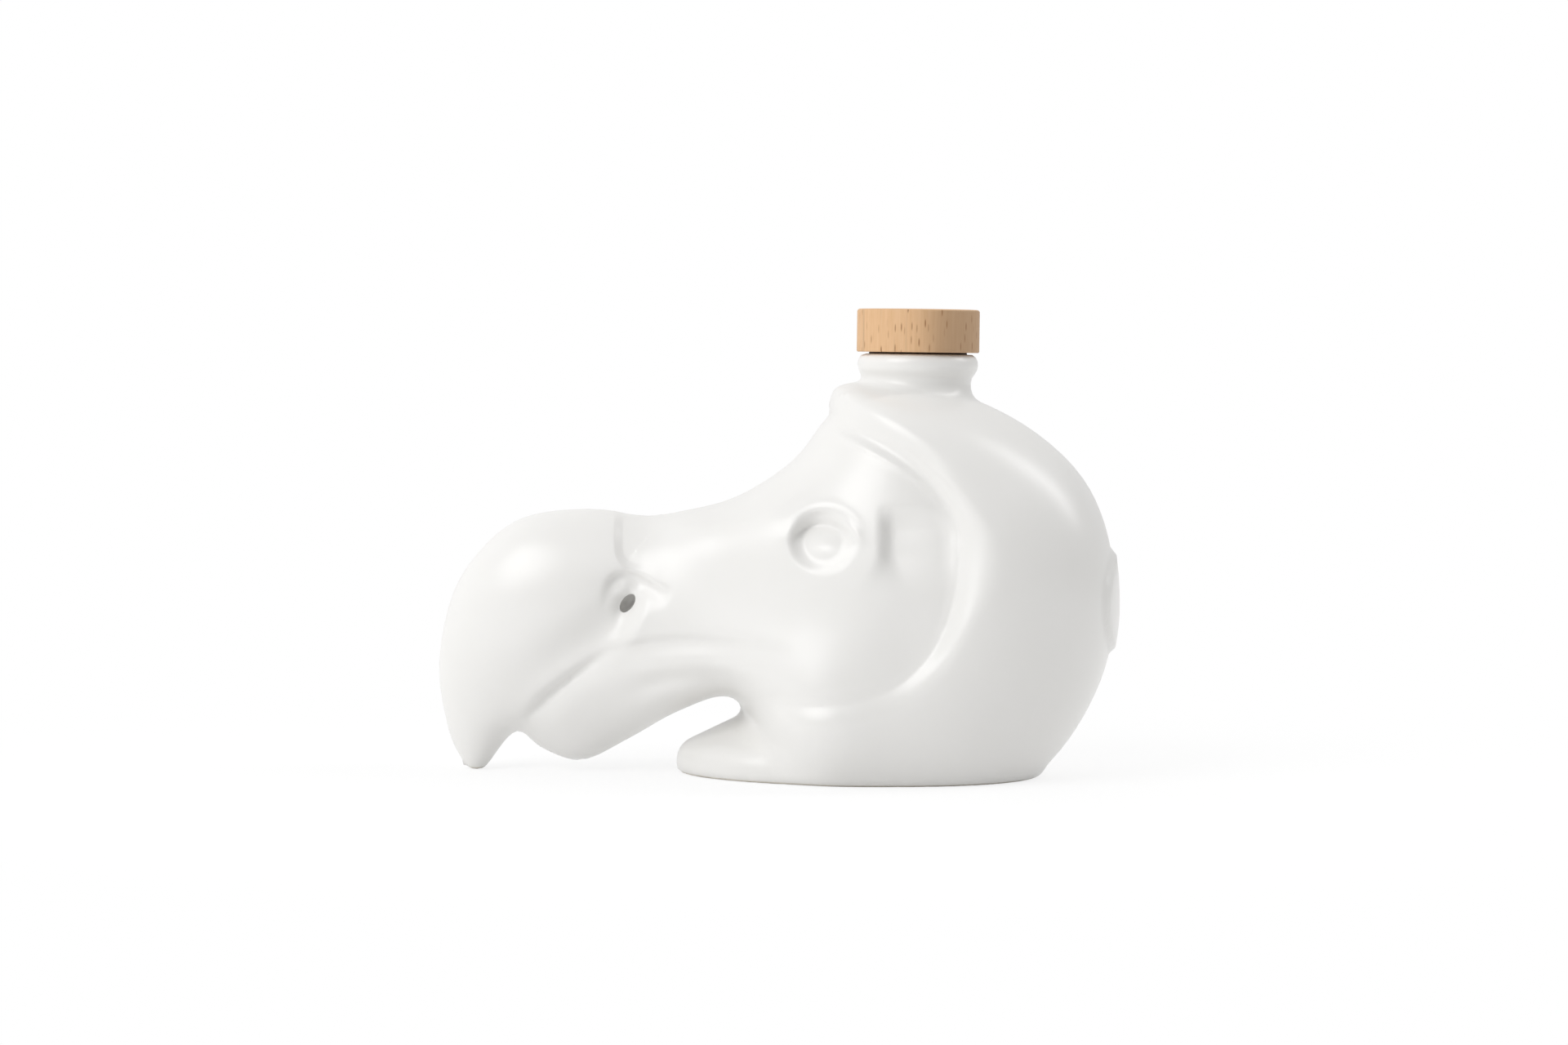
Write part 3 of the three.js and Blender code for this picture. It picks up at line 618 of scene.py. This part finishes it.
def glazed_stoneware(look):
    """White slip-cast ceramic under a clear gloss glaze.

    The glaze gives soft wide highlights with a faint ripple, and the white body varies very slightly.
    The ring under the foot is wiped bare and matt.
    """
    material, tree = new_material("glazed_stoneware")
    place = add_node(tree, "ShaderNodeTexCoord")
    cloud = add_node(tree, "ShaderNodeTexNoise", {
        "Vector": (place, "Object"), "Scale": 1 / (26 * MM), "Detail": 2.0, "Roughness": 0.5})
    ripple = add_node(tree, "ShaderNodeTexNoise", {
        "Vector": (place, "Object"), "Scale": 1 / (7 * MM), "Detail": 1.0, "Roughness": 0.4})
    body = add_node(tree, "ShaderNodeMix", {
        "Factor": (cloud, "Fac"), "A": linear(look.glaze_shade), "B": linear(look.glaze)}, data_type="RGBA")
    split = add_node(tree, "ShaderNodeSeparateXYZ", {"Vector": (place, "Object")})
    bare = add_node(tree, "ShaderNodeMapRange", {
        "Value": (split, "Z"), "From Min": 0.4 * MM, "From Max": 0.9 * MM, "To Min": 1.0, "To Max": 0.0})
    colour = add_node(tree, "ShaderNodeMix", {
        "Factor": (bare, "Result"), "A": (body, "Result"), "B": linear(look.bare_ring)}, data_type="RGBA")
    gloss = add_node(tree, "ShaderNodeMapRange", {
        "Value": (cloud, "Fac"),
        "To Min": look.glaze_roughness - 0.02, "To Max": look.glaze_roughness + 0.02})
    rough = add_node(tree, "ShaderNodeMapRange", {
        "Value": (bare, "Result"), "To Min": (gloss, "Result"), "To Max": 0.8})
    bump = add_node(tree, "ShaderNodeBump", {
        "Height": (ripple, "Fac"), "Strength": 0.05, "Distance": 0.3 * MM})
    shader = add_node(tree, "ShaderNodeBsdfPrincipled", {
        "Base Color": (colour, "Result"), "Roughness": (rough, "Result"), "IOR": 1.5,
        "Normal": (bump, "Normal")})
    add_node(tree, "ShaderNodeOutputMaterial", {"Surface": (shader, "BSDF")})
    return material


def turned_beech(look):
    """Sanded, unvarnished beech turned with its grain upright.

    Faint streaks run up the side under short dark ray flecks, and one grey-brown stripe crosses it.
    The top shows end grain, and one side of the cap is painted greyer and darker in the stripe's colour as
    painted shade.
    """
    material, tree = new_material("turned_beech")
    place = add_node(tree, "ShaderNodeTexCoord")
    centred = add_node(tree, "ShaderNodeMapping", {
        "Vector": (place, "Object"), "Location": (-NECK_X * MM, 0, 0), "Scale": (1, -1, 1)})
    split = add_node(tree, "ShaderNodeSeparateXYZ", {"Vector": (centred, "Vector")})
    turn = add_node(tree, "ShaderNodeMath", {0: (split, "X"), 1: (split, "Y")}, operation="ARCTAN2")
    arc = add_node(tree, "ShaderNodeMath", {0: (turn, "Value"), 1: 20 * MM}, operation="MULTIPLY")
    side = add_node(tree, "ShaderNodeCombineXYZ", {"X": (arc, "Value"), "Y": (split, "Z")})
    long = add_node(tree, "ShaderNodeMapping", {"Vector": (side, "Vector"), "Scale": (1, 0.05, 1)})
    streak = add_node(tree, "ShaderNodeTexNoise", {
        "Vector": (long, "Vector"), "Scale": 1 / (0.9 * MM), "Detail": 3.0, "Roughness": 0.6},
        noise_dimensions="2D")
    stripe = add_node(tree, "ShaderNodeTexNoise", {
        "Vector": (long, "Vector"), "Scale": 1 / (4 * MM), "Detail": 2.0, "Roughness": 0.5},
        noise_dimensions="2D")
    short = add_node(tree, "ShaderNodeMapping", {"Vector": (side, "Vector"), "Scale": (1, 0.17, 1)})
    ray = add_node(tree, "ShaderNodeTexVoronoi", {
        "Vector": (short, "Vector"), "Scale": 1 / (1.9 * MM)}, voronoi_dimensions="2D")
    dash = add_node(tree, "ShaderNodeMapRange", {
        "Value": (ray, "Distance"), "From Min": 0.07, "From Max": 0.15, "To Min": 1.0, "To Max": 0.0})
    chance = add_node(tree, "ShaderNodeSeparateColor", {"Color": (ray, "Color")})
    strength = add_node(tree, "ShaderNodeMath", {
        0: (dash, "Result"), 1: (chance, "Red")}, operation="MULTIPLY")
    pore = add_node(tree, "ShaderNodeTexNoise", {
        "Vector": (place, "Object"), "Scale": 1 / (0.35 * MM), "Detail": 2.0, "Roughness": 0.6})
    wood = add_node(tree, "ShaderNodeMix", {
        "Factor": (streak, "Fac"), "A": linear(look.beech_dark), "B": linear(look.beech_light)},
        data_type="RGBA")
    grey = add_node(tree, "ShaderNodeMapRange", {
        "Value": (stripe, "Fac"), "From Min": 0.6, "From Max": 0.75, "To Max": 0.45})
    # Painted shade: by its angle round the cap, one side is blended towards the grey-brown stripe colour
    painted_side_shade = add_node(tree, "ShaderNodeMapRange", {
        "Value": (arc, "Value"), "From Min": -4 * MM, "From Max": 10 * MM, "To Max": 0.5},
        interpolation_type="SMOOTHSTEP")
    stripe_and_side_shade = add_node(tree, "ShaderNodeMath", {0: (grey, "Result"), 1: (painted_side_shade, "Result")}, operation="MAXIMUM")
    striped_and_shaded = add_node(tree, "ShaderNodeMix", {
        "Factor": (stripe_and_side_shade, "Value"), "A": (wood, "Result"), "B": linear(look.beech_stripe_and_shade)}, data_type="RGBA")
    marked = add_node(tree, "ShaderNodeMix", {
        "Factor": (strength, "Value"), "A": (striped_and_shaded, "Result"), "B": linear(look.beech_fleck)},
        data_type="RGBA")
    end_grain = add_node(tree, "ShaderNodeMix", {
        "Factor": (pore, "Fac"), "A": linear(look.beech_dark), "B": linear(look.beech_light)},
        data_type="RGBA")
    top = add_node(tree, "ShaderNodeMapRange", {
        "Value": (split, "Z"), "From Min": CAP_TOP - 0.5 * MM, "From Max": CAP_TOP - 0.1 * MM})
    colour = add_node(tree, "ShaderNodeMix", {
        "Factor": (top, "Result"), "A": (marked, "Result"), "B": (end_grain, "Result")}, data_type="RGBA")
    bump = add_node(tree, "ShaderNodeBump", {
        "Height": (pore, "Fac"), "Strength": 0.3, "Distance": 0.12 * MM})
    shader = add_node(tree, "ShaderNodeBsdfPrincipled", {
        "Base Color": (colour, "Result"), "Roughness": 0.6, "IOR": 1.45, "Normal": (bump, "Normal")})
    add_node(tree, "ShaderNodeOutputMaterial", {"Surface": (shader, "BSDF")})
    return material


def pressed_cork(look):
    """Cork granules pressed and ground to a shank: a matt tan speckle of crumbs with dark gaps."""
    material, tree = new_material("pressed_cork")
    place = add_node(tree, "ShaderNodeTexCoord")
    crumb = add_node(tree, "ShaderNodeTexVoronoi", {"Vector": (place, "Object"), "Scale": 1 / (2.2 * MM)})
    gap = add_node(tree, "ShaderNodeTexVoronoi", {
        "Vector": (place, "Object"), "Scale": 1 / (2.2 * MM)}, feature="DISTANCE_TO_EDGE")
    grain = add_node(tree, "ShaderNodeSeparateColor", {"Color": (crumb, "Color")})
    colour = add_node(tree, "ShaderNodeMix", {
        "Factor": (grain, "Red"), "A": linear(look.cork_dark), "B": linear(look.cork)}, data_type="RGBA")
    seam = add_node(tree, "ShaderNodeMapRange", {
        "Value": (gap, "Distance"), "From Max": 0.08, "To Min": 1.0, "To Max": 0.0})
    marked = add_node(tree, "ShaderNodeMix", {
        "Factor": (seam, "Result"), "A": (colour, "Result"), "B": linear(look.cork_dark)}, data_type="RGBA")
    bump = add_node(tree, "ShaderNodeBump", {
        "Height": (gap, "Distance"), "Strength": 0.5, "Distance": 0.2 * MM})
    shader = add_node(tree, "ShaderNodeBsdfPrincipled", {
        "Base Color": (marked, "Result"), "Roughness": 0.9, "Normal": (bump, "Normal")})
    add_node(tree, "ShaderNodeOutputMaterial", {"Surface": (shader, "BSDF")})
    return material


def moulded_rubber(look):
    """Dark brown moulded rubber: a satin edge with a fine dusty grain."""
    material, tree = new_material("moulded_rubber")
    place = add_node(tree, "ShaderNodeTexCoord")
    dust = add_node(tree, "ShaderNodeTexNoise", {
        "Vector": (place, "Object"), "Scale": 1 / (0.8 * MM), "Detail": 2.0})
    colour = add_node(tree, "ShaderNodeMix", {
        "Factor": (dust, "Fac"), "A": linear(look.washer), "B": linear(look.washer_dust)}, data_type="RGBA")
    shader = add_node(tree, "ShaderNodeBsdfPrincipled", {
        "Base Color": (colour, "Result"), "Roughness": 0.6})
    add_node(tree, "ShaderNodeOutputMaterial", {"Surface": (shader, "BSDF")})
    return material


def studio_paper(look):
    """Seamless white studio paper: it keeps the object's soft shadow and shows as white behind it."""
    material, tree = new_material("studio_paper")
    path = add_node(tree, "ShaderNodeLightPath")
    seen = add_node(tree, "ShaderNodeMath", {
        0: (path, "Is Camera Ray"), 1: (path, "Is Glossy Ray")}, operation="MAXIMUM")
    place = add_node(tree, "ShaderNodeTexCoord")
    away = add_node(tree, "ShaderNodeVectorMath", {0: (place, "Object")}, operation="LENGTH")
    far = add_node(tree, "ShaderNodeMapRange", {
        "Value": (away, "Value"), "From Min": 0.1, "From Max": 0.32, "To Min": 0.8, "To Max": 1.0})
    share = add_node(tree, "ShaderNodeMath", {0: (seen, "Value"), 1: (far, "Result")}, operation="MULTIPLY")
    paper = add_node(tree, "ShaderNodeBsdfDiffuse", {"Color": linear(look.floor)})
    white = add_node(tree, "ShaderNodeEmission", {"Strength": 1.0})
    mixed = add_node(tree, "ShaderNodeMixShader", {
        "Fac": (share, "Value"), 1: (paper, "BSDF"), 2: (white, "Emission")})
    add_node(tree, "ShaderNodeOutputMaterial", {"Surface": (mixed, "Shader")})
    return material


# What a user would change


class BottleSculpt(bpy.types.PropertyGroup):
    """Depths of the carving on the head."""

    skin_step: FloatProperty(
        name="Skin step", description="Size of the skin's faces", default=1.82 * MM, unit="LENGTH")
    hood_rim: FloatProperty(
        name="Hood rim", description="Height of the rolled rim", default=2.8 * MM, unit="LENGTH")
    face_recess: FloatProperty(
        name="Face recess", description="Depth of the face beside the rim",
        default=2.4 * MM, unit="LENGTH")
    temple_drop: FloatProperty(
        name="Temple drop", description="Depth of the hollow behind the eye",
        default=4.0 * MM, unit="LENGTH")
    eye_depth: FloatProperty(
        name="Eye depth", description="Depth of the eye socket", default=5.4 * MM, unit="LENGTH")
    sheath_step: FloatProperty(
        name="Sheath step", description="Height of the beak's horny sheath",
        default=1.3 * MM, unit="LENGTH")
    horn_tuck: FloatProperty(
        name="Horn tuck", description="Depth of the horn's rear edge under the cheek",
        default=5.2 * MM, unit="LENGTH")
    mouth_depth: FloatProperty(
        name="Mouth depth", description="Depth of the mouth line", default=1.8 * MM, unit="LENGTH")


class BottleFinish(bpy.types.PropertyGroup):
    """Colours and gloss of the bottle and its stopper."""

    glaze: StringProperty(name="Glaze", description="Glazed body, sRGB hex", default="#ECEBE9")
    glaze_shade: StringProperty(
        name="Glaze shade", description="Thinner glaze, sRGB hex", default="#E8E7E4")
    bare_ring: StringProperty(
        name="Bare ring", description="Unglazed foot ring, sRGB hex", default="#D8D2C6")
    glaze_roughness: FloatProperty(
        name="Glaze roughness", description="Blur of the glaze's highlights",
        default=0.31, subtype="FACTOR")
    beech_light: StringProperty(
        name="Beech light", description="Light wood, sRGB hex", default="#E2BC94")
    beech_dark: StringProperty(
        name="Beech dark", description="Dark streaks, sRGB hex", default="#D0A578")
    # Colour of the real grey-brown stripe, and also of the painted shade on one side of the cap
    beech_stripe_and_shade: StringProperty(
        name="Beech stripe", description="Grey-brown stripe, sRGB hex", default="#937A62")
    beech_fleck: StringProperty(
        name="Beech fleck", description="Ray flecks, sRGB hex", default="#8F6038")
    cork: StringProperty(name="Cork", description="Cork crumbs, sRGB hex", default="#C9A477")
    cork_dark: StringProperty(
        name="Cork dark", description="Dark cork crumbs, sRGB hex", default="#8F6A43")
    washer: StringProperty(name="Washer", description="Sealing washer, sRGB hex", default="#35251B")
    washer_dust: StringProperty(
        name="Washer dust", description="Dust on the washer, sRGB hex", default="#4A3728")


class BottleStage(bpy.types.PropertyGroup):
    """Floor, lamps and camera."""

    floor: StringProperty(name="Floor", description="Studio paper, sRGB hex", default="#FCFCFC")
    sky: FloatProperty(
        name="Sky", description="Strength of the soft light on its bright side", default=0.95)
    key: FloatProperty(name="Key", description="Power of the softbox on the left in watts", default=8.9)
    strip: FloatProperty(
        name="Strip", description="Power of the strip on the right in watts", default=3.0)
    lens: FloatProperty(name="Lens", description="Focal length in millimetres", default=87.8)
    camera_at: FloatVectorProperty(
        name="Camera", description="Place of the camera", default=(0.002, -1.25, 0.138), unit="LENGTH")
    camera_to: FloatVectorProperty(
        name="Aim", description="Point the camera looks at", default=(0.002, 0.0, 0.082), unit="LENGTH")
    roll: FloatProperty(
        name="Roll", description="Tilt of the camera about its view",
        default=math.radians(0.75), unit="ROTATION")


# Operators, one for each piece


class BOTTLE_OT_body(bpy.types.Operator):
    """Sculpt the glazed head with its neck, lip and foot"""

    bl_idname = "bottle.body"
    bl_label = "Glazed body"

    def execute(self, context):
        sculpt = context.scene.bottle_sculpt
        form = Form(carved_face(sculpt))
        piece = copied("bottle_body", "glazed_body")
        low, high = (LIP_TOP - BORE_DEPTH - 6) * MM, (LIP_TOP - 0.5) * MM
        plug = cylinder("plug", (NECK_RADIUS - 2) * MM, low, high)
        only(piece)
        plug.select_set(True)
        bpy.ops.object.join()
        apply_modifier(piece, "REMESH", mode="VOXEL", voxel_size=sculpt.skin_step)
        piece = self.outer_skin(piece)
        put_points(piece, form.pull(points_of(piece) / MM) * MM)
        apply_modifier(piece, "SMOOTH", factor=0.5, iterations=6)
        put_points(piece, form.pull(points_of(piece) / MM) * MM)
        for test in (self.is_carved, self.is_fine):
            pick(piece, test)
            bpy.ops.mesh.subdivide(number_cuts=1)
            bpy.ops.object.mode_set(mode="OBJECT")
            apply_modifier(piece, "SMOOTH", factor=0.5, iterations=2)
            put_points(piece, form.pull(points_of(piece) / MM) * MM)
        self.hollow(piece)
        finished(piece, "bottle_body", "bottle", glazed_stoneware(context.scene.bottle_finish),
                 math.radians(50))
        return {"FINISHED"}

    def outer_skin(self, piece):
        """Keeps the outer one of a piece's shells."""
        only(piece)
        bpy.ops.mesh.separate(type="LOOSE")
        shells = sorted(bpy.context.selected_objects, key=lambda shell: shell.dimensions.x)
        for shell in shells[:-1]:
            bpy.data.objects.remove(shell)
        shells[-1].name = shells[-1].data.name = "glazed_body"
        return shells[-1]

    def is_carved(self, centre, normal):
        """True on the face, the hood's rim, the beak's folds and the neck."""
        x, y, z = centre / MM
        inside = CARVED_ALONG[0] < x < CARVED_ALONG[1] and abs(y) > CARVED_SIDE
        return inside and z > CARVED_UP[0] and (z < CARVED_UP[1] or x > CARVED_NECK)

    def is_fine(self, centre, normal):
        """True round the eyes, the nostrils and the edge of the sheath."""
        x, y, z = centre / MM
        near = any(math.hypot(x - at[0], z - at[1]) < size for at, size in FINE_PLACES)
        return near and abs(y) > FINE_SIDE

    def hollow(self, piece):
        """Bores the neck into a rounded hollow, recesses the foot and sinks the nostrils."""
        bore = cylinder("bore", BORE_RADIUS * MM, (LIP_TOP - BORE_DEPTH) * MM, (LIP_TOP + 4) * MM)
        cavity = ellipsoid(CAVITY_CENTRE, CAVITY_RADII)
        recess = cylinder("recess", 1, -5 * MM, FOOT_RECESS * MM, at=(0, 0))
        bpy.ops.transform.resize(
            value=((FOOT_HALF_LENGTH - FOOT_RING) * MM, (FOOT_HALF_WIDTH - FOOT_RING) * MM, 1))
        bpy.ops.transform.translate(value=(FOOT_CENTRE * MM, 0, 0))
        bpy.ops.object.transform_apply(location=True, rotation=True, scale=True)
        for cutter in (bore, cavity, recess, self.nostril(-1), self.nostril(1)):
            cut(piece, cutter)

    def nostril(self, side):
        """A blind slanting pit in one side of the beak."""
        centre = (NOSTRIL[0] + NOSTRIL_PIT_AWAY, side * NOSTRIL_PIT_SIDE, NOSTRIL[1])
        return ellipsoid(centre, NOSTRIL_PIT_RADII, turn=math.radians(NOSTRIL_PIT_TURN), segments=48)


class BOTTLE_OT_cap(bpy.types.Operator):
    """Turn the beech cap of the stopper"""

    bl_idname = "bottle.cap"
    bl_label = "Beech cap"

    def execute(self, context):
        low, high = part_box("cap_top")
        at = ((low.x + high.x) / 2, (low.y + high.y) / 2)
        piece = cylinder("beech_cap", (high.x - low.x) / 2, low.z, high.z, at=at, sides=160)
        round_edges(piece, faces_up, 0.9 * MM, 5)
        round_edges(piece, faces_down, 0.5 * MM, 4)
        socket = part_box("stopper_shank")[1].z + 0.3 * MM
        cut(piece, cylinder("socket", 7.8 * MM, low.z - 4 * MM, socket, at=at))
        finished(piece, "cap_top", "stopper", turned_beech(context.scene.bottle_finish),
                 math.radians(40))
        return {"FINISHED"}


class BOTTLE_OT_shank(bpy.types.Operator):
    """Grind the cork shank of the stopper"""

    bl_idname = "bottle.shank"
    bl_label = "Cork shank"

    def execute(self, context):
        low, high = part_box("stopper_shank")
        at = ((low.x + high.x) / 2, (low.y + high.y) / 2)
        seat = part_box("cap_top")[0].z
        piece = cylinder("cork_shank", (high.x - low.x) / 2, low.z, seat, at=at, sides=96)
        round_edges(piece, faces_down, 1.5 * MM, 3)
        pick(piece, faces_up)
        bpy.ops.mesh.inset(thickness=(high.x - low.x) / 2 - 7.5 * MM)
        bpy.ops.mesh.extrude_region_move(TRANSFORM_OT_translate={"value": (0, 0, high.z - seat)})
        bpy.ops.object.mode_set(mode="OBJECT")
        finished(piece, "stopper_shank", "stopper", pressed_cork(context.scene.bottle_finish),
                 math.radians(40))
        return {"FINISHED"}


class BOTTLE_OT_washer(bpy.types.Operator):
    """Press the dark sealing washer under the cap"""

    bl_idname = "bottle.washer"
    bl_label = "Sealing washer"

    def execute(self, context):
        low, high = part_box("sealing_washer")
        at = ((low.x + high.x) / 2, (low.y + high.y) / 2)
        piece = cylinder("rubber_washer", (high.x - low.x) / 2, low.z, high.z, at=at, sides=96)
        round_edges(piece, lambda centre, normal: abs(normal.z) > 0.9, 0.2 * MM, 3)
        cut(piece, cylinder("hole", BORE_RADIUS * MM, low.z - 4 * MM, high.z + 4 * MM, at=at))
        finished(piece, "sealing_washer", "stopper", moulded_rubber(context.scene.bottle_finish),
                 math.radians(40))
        return {"FINISHED"}


class BOTTLE_OT_stage(bpy.types.Operator):
    """Lay the studio paper, set the lamps and place the camera"""

    bl_idname = "bottle.stage"
    bl_label = "Studio"

    def execute(self, context):
        look = context.scene.bottle_stage
        bpy.ops.object.select_all(action="DESELECT")
        bpy.ops.mesh.primitive_plane_add(size=FLOOR_SIZE, location=(0, 0, -0.0001))
        floor = bpy.context.object
        floor.name = "studio_floor"
        floor.data.materials.append(studio_paper(look))
        self.lamp("left_softbox", look.key, KEY_AT, KEY_SIZE)
        self.lamp("right_strip", look.strip, STRIP_AT, STRIP_SIZE)
        self.sky(look)
        data = bpy.data.cameras.new("camera")
        data.lens = look.lens
        camera = bpy.data.objects.new("camera", data)
        context.scene.collection.objects.link(camera)
        camera.location = look.camera_at
        facing = (Vector(look.camera_to) - camera.location).to_track_quat("-Z", "Y").to_matrix().to_4x4()
        rolled = Matrix.Rotation(look.roll, 4, "Z")
        camera.matrix_world = Matrix.Translation(camera.location) @ facing @ rolled
        context.scene.camera = camera
        context.scene.view_settings.view_transform = "Standard"
        return {"FINISHED"}

    def lamp(self, name, power, at, size):
        data = bpy.data.lights.new(name, "AREA")
        data.energy = power
        data.shape = "ELLIPSE"
        data.size, data.size_y = size
        lamp = bpy.data.objects.new(name, data)
        bpy.context.scene.collection.objects.link(lamp)
        lamp.location = at
        lamp.rotation_euler = (Vector(LAMPS_AIM) - lamp.location).to_track_quat("-Z", "Y").to_euler()

    def sky(self, look):
        world = bpy.data.worlds.new("studio_sky")
        world.use_nodes = True
        world.node_tree.nodes.clear()
        tree = world.node_tree
        path = add_node(tree, "ShaderNodeLightPath")
        place = add_node(tree, "ShaderNodeTexCoord")
        toward = add_node(tree, "ShaderNodeVectorMath", {
            0: (place, "Generated"), 1: SKY_SIDE}, operation="DOT_PRODUCT")
        strength = add_node(tree, "ShaderNodeMapRange", {
            "Value": (toward, "Value"), "From Min": -0.6, "From Max": 0.9,
            "To Min": SKY_SHADE * look.sky, "To Max": look.sky})
        light = add_node(tree, "ShaderNodeBackground", {
            "Color": linear("#FFFFFF"), "Strength": (strength, "Result")})
        seen = add_node(tree, "ShaderNodeBackground", {"Color": linear("#FFFFFF"), "Strength": 1.0})
        mixed = add_node(tree, "ShaderNodeMixShader", {
            "Fac": (path, "Is Camera Ray"), 1: (light, "Background"), 2: (seen, "Background")})
        add_node(tree, "ShaderNodeOutputWorld", {"Surface": (mixed, "Shader")})
        bpy.context.scene.world = world


class BOTTLE_PT_panel(bpy.types.Panel):
    """The bottle's pieces, in the order they are made"""

    bl_idname = "BOTTLE_PT_panel"
    bl_label = "Bird's-head bottle"
    bl_space_type = "VIEW_3D"
    bl_region_type = "UI"
    bl_category = "Bottle"

    def draw(self, context):
        for group in (context.scene.bottle_sculpt, context.scene.bottle_finish, context.scene.bottle_stage):
            box = self.layout.box()
            for name in group.bl_rna.properties.keys():
                if name not in ("rna_type", "name"):
                    box.prop(group, name)
        for operator in PIECES:
            self.layout.operator(operator.bl_idname)


PIECES = (BOTTLE_OT_body, BOTTLE_OT_cap, BOTTLE_OT_shank, BOTTLE_OT_washer, BOTTLE_OT_stage)
CLASSES = (BottleSculpt, BottleFinish, BottleStage, *PIECES, BOTTLE_PT_panel)


def register():
    for cls in CLASSES:
        bpy.utils.register_class(cls)
    bpy.types.Scene.bottle_sculpt = PointerProperty(type=BottleSculpt)
    bpy.types.Scene.bottle_finish = PointerProperty(type=BottleFinish)
    bpy.types.Scene.bottle_stage = PointerProperty(type=BottleStage)


def unregister():
    for name in ("bottle_sculpt", "bottle_finish", "bottle_stage"):
        delattr(bpy.types.Scene, name)
    for cls in reversed(CLASSES):
        bpy.utils.unregister_class(cls)


def main():
    register()
    bpy.ops.bottle.body()
    bpy.ops.bottle.cap()
    bpy.ops.bottle.shank()
    bpy.ops.bottle.washer()
    bpy.ops.bottle.stage()


if __name__ == "__main__":
    main()
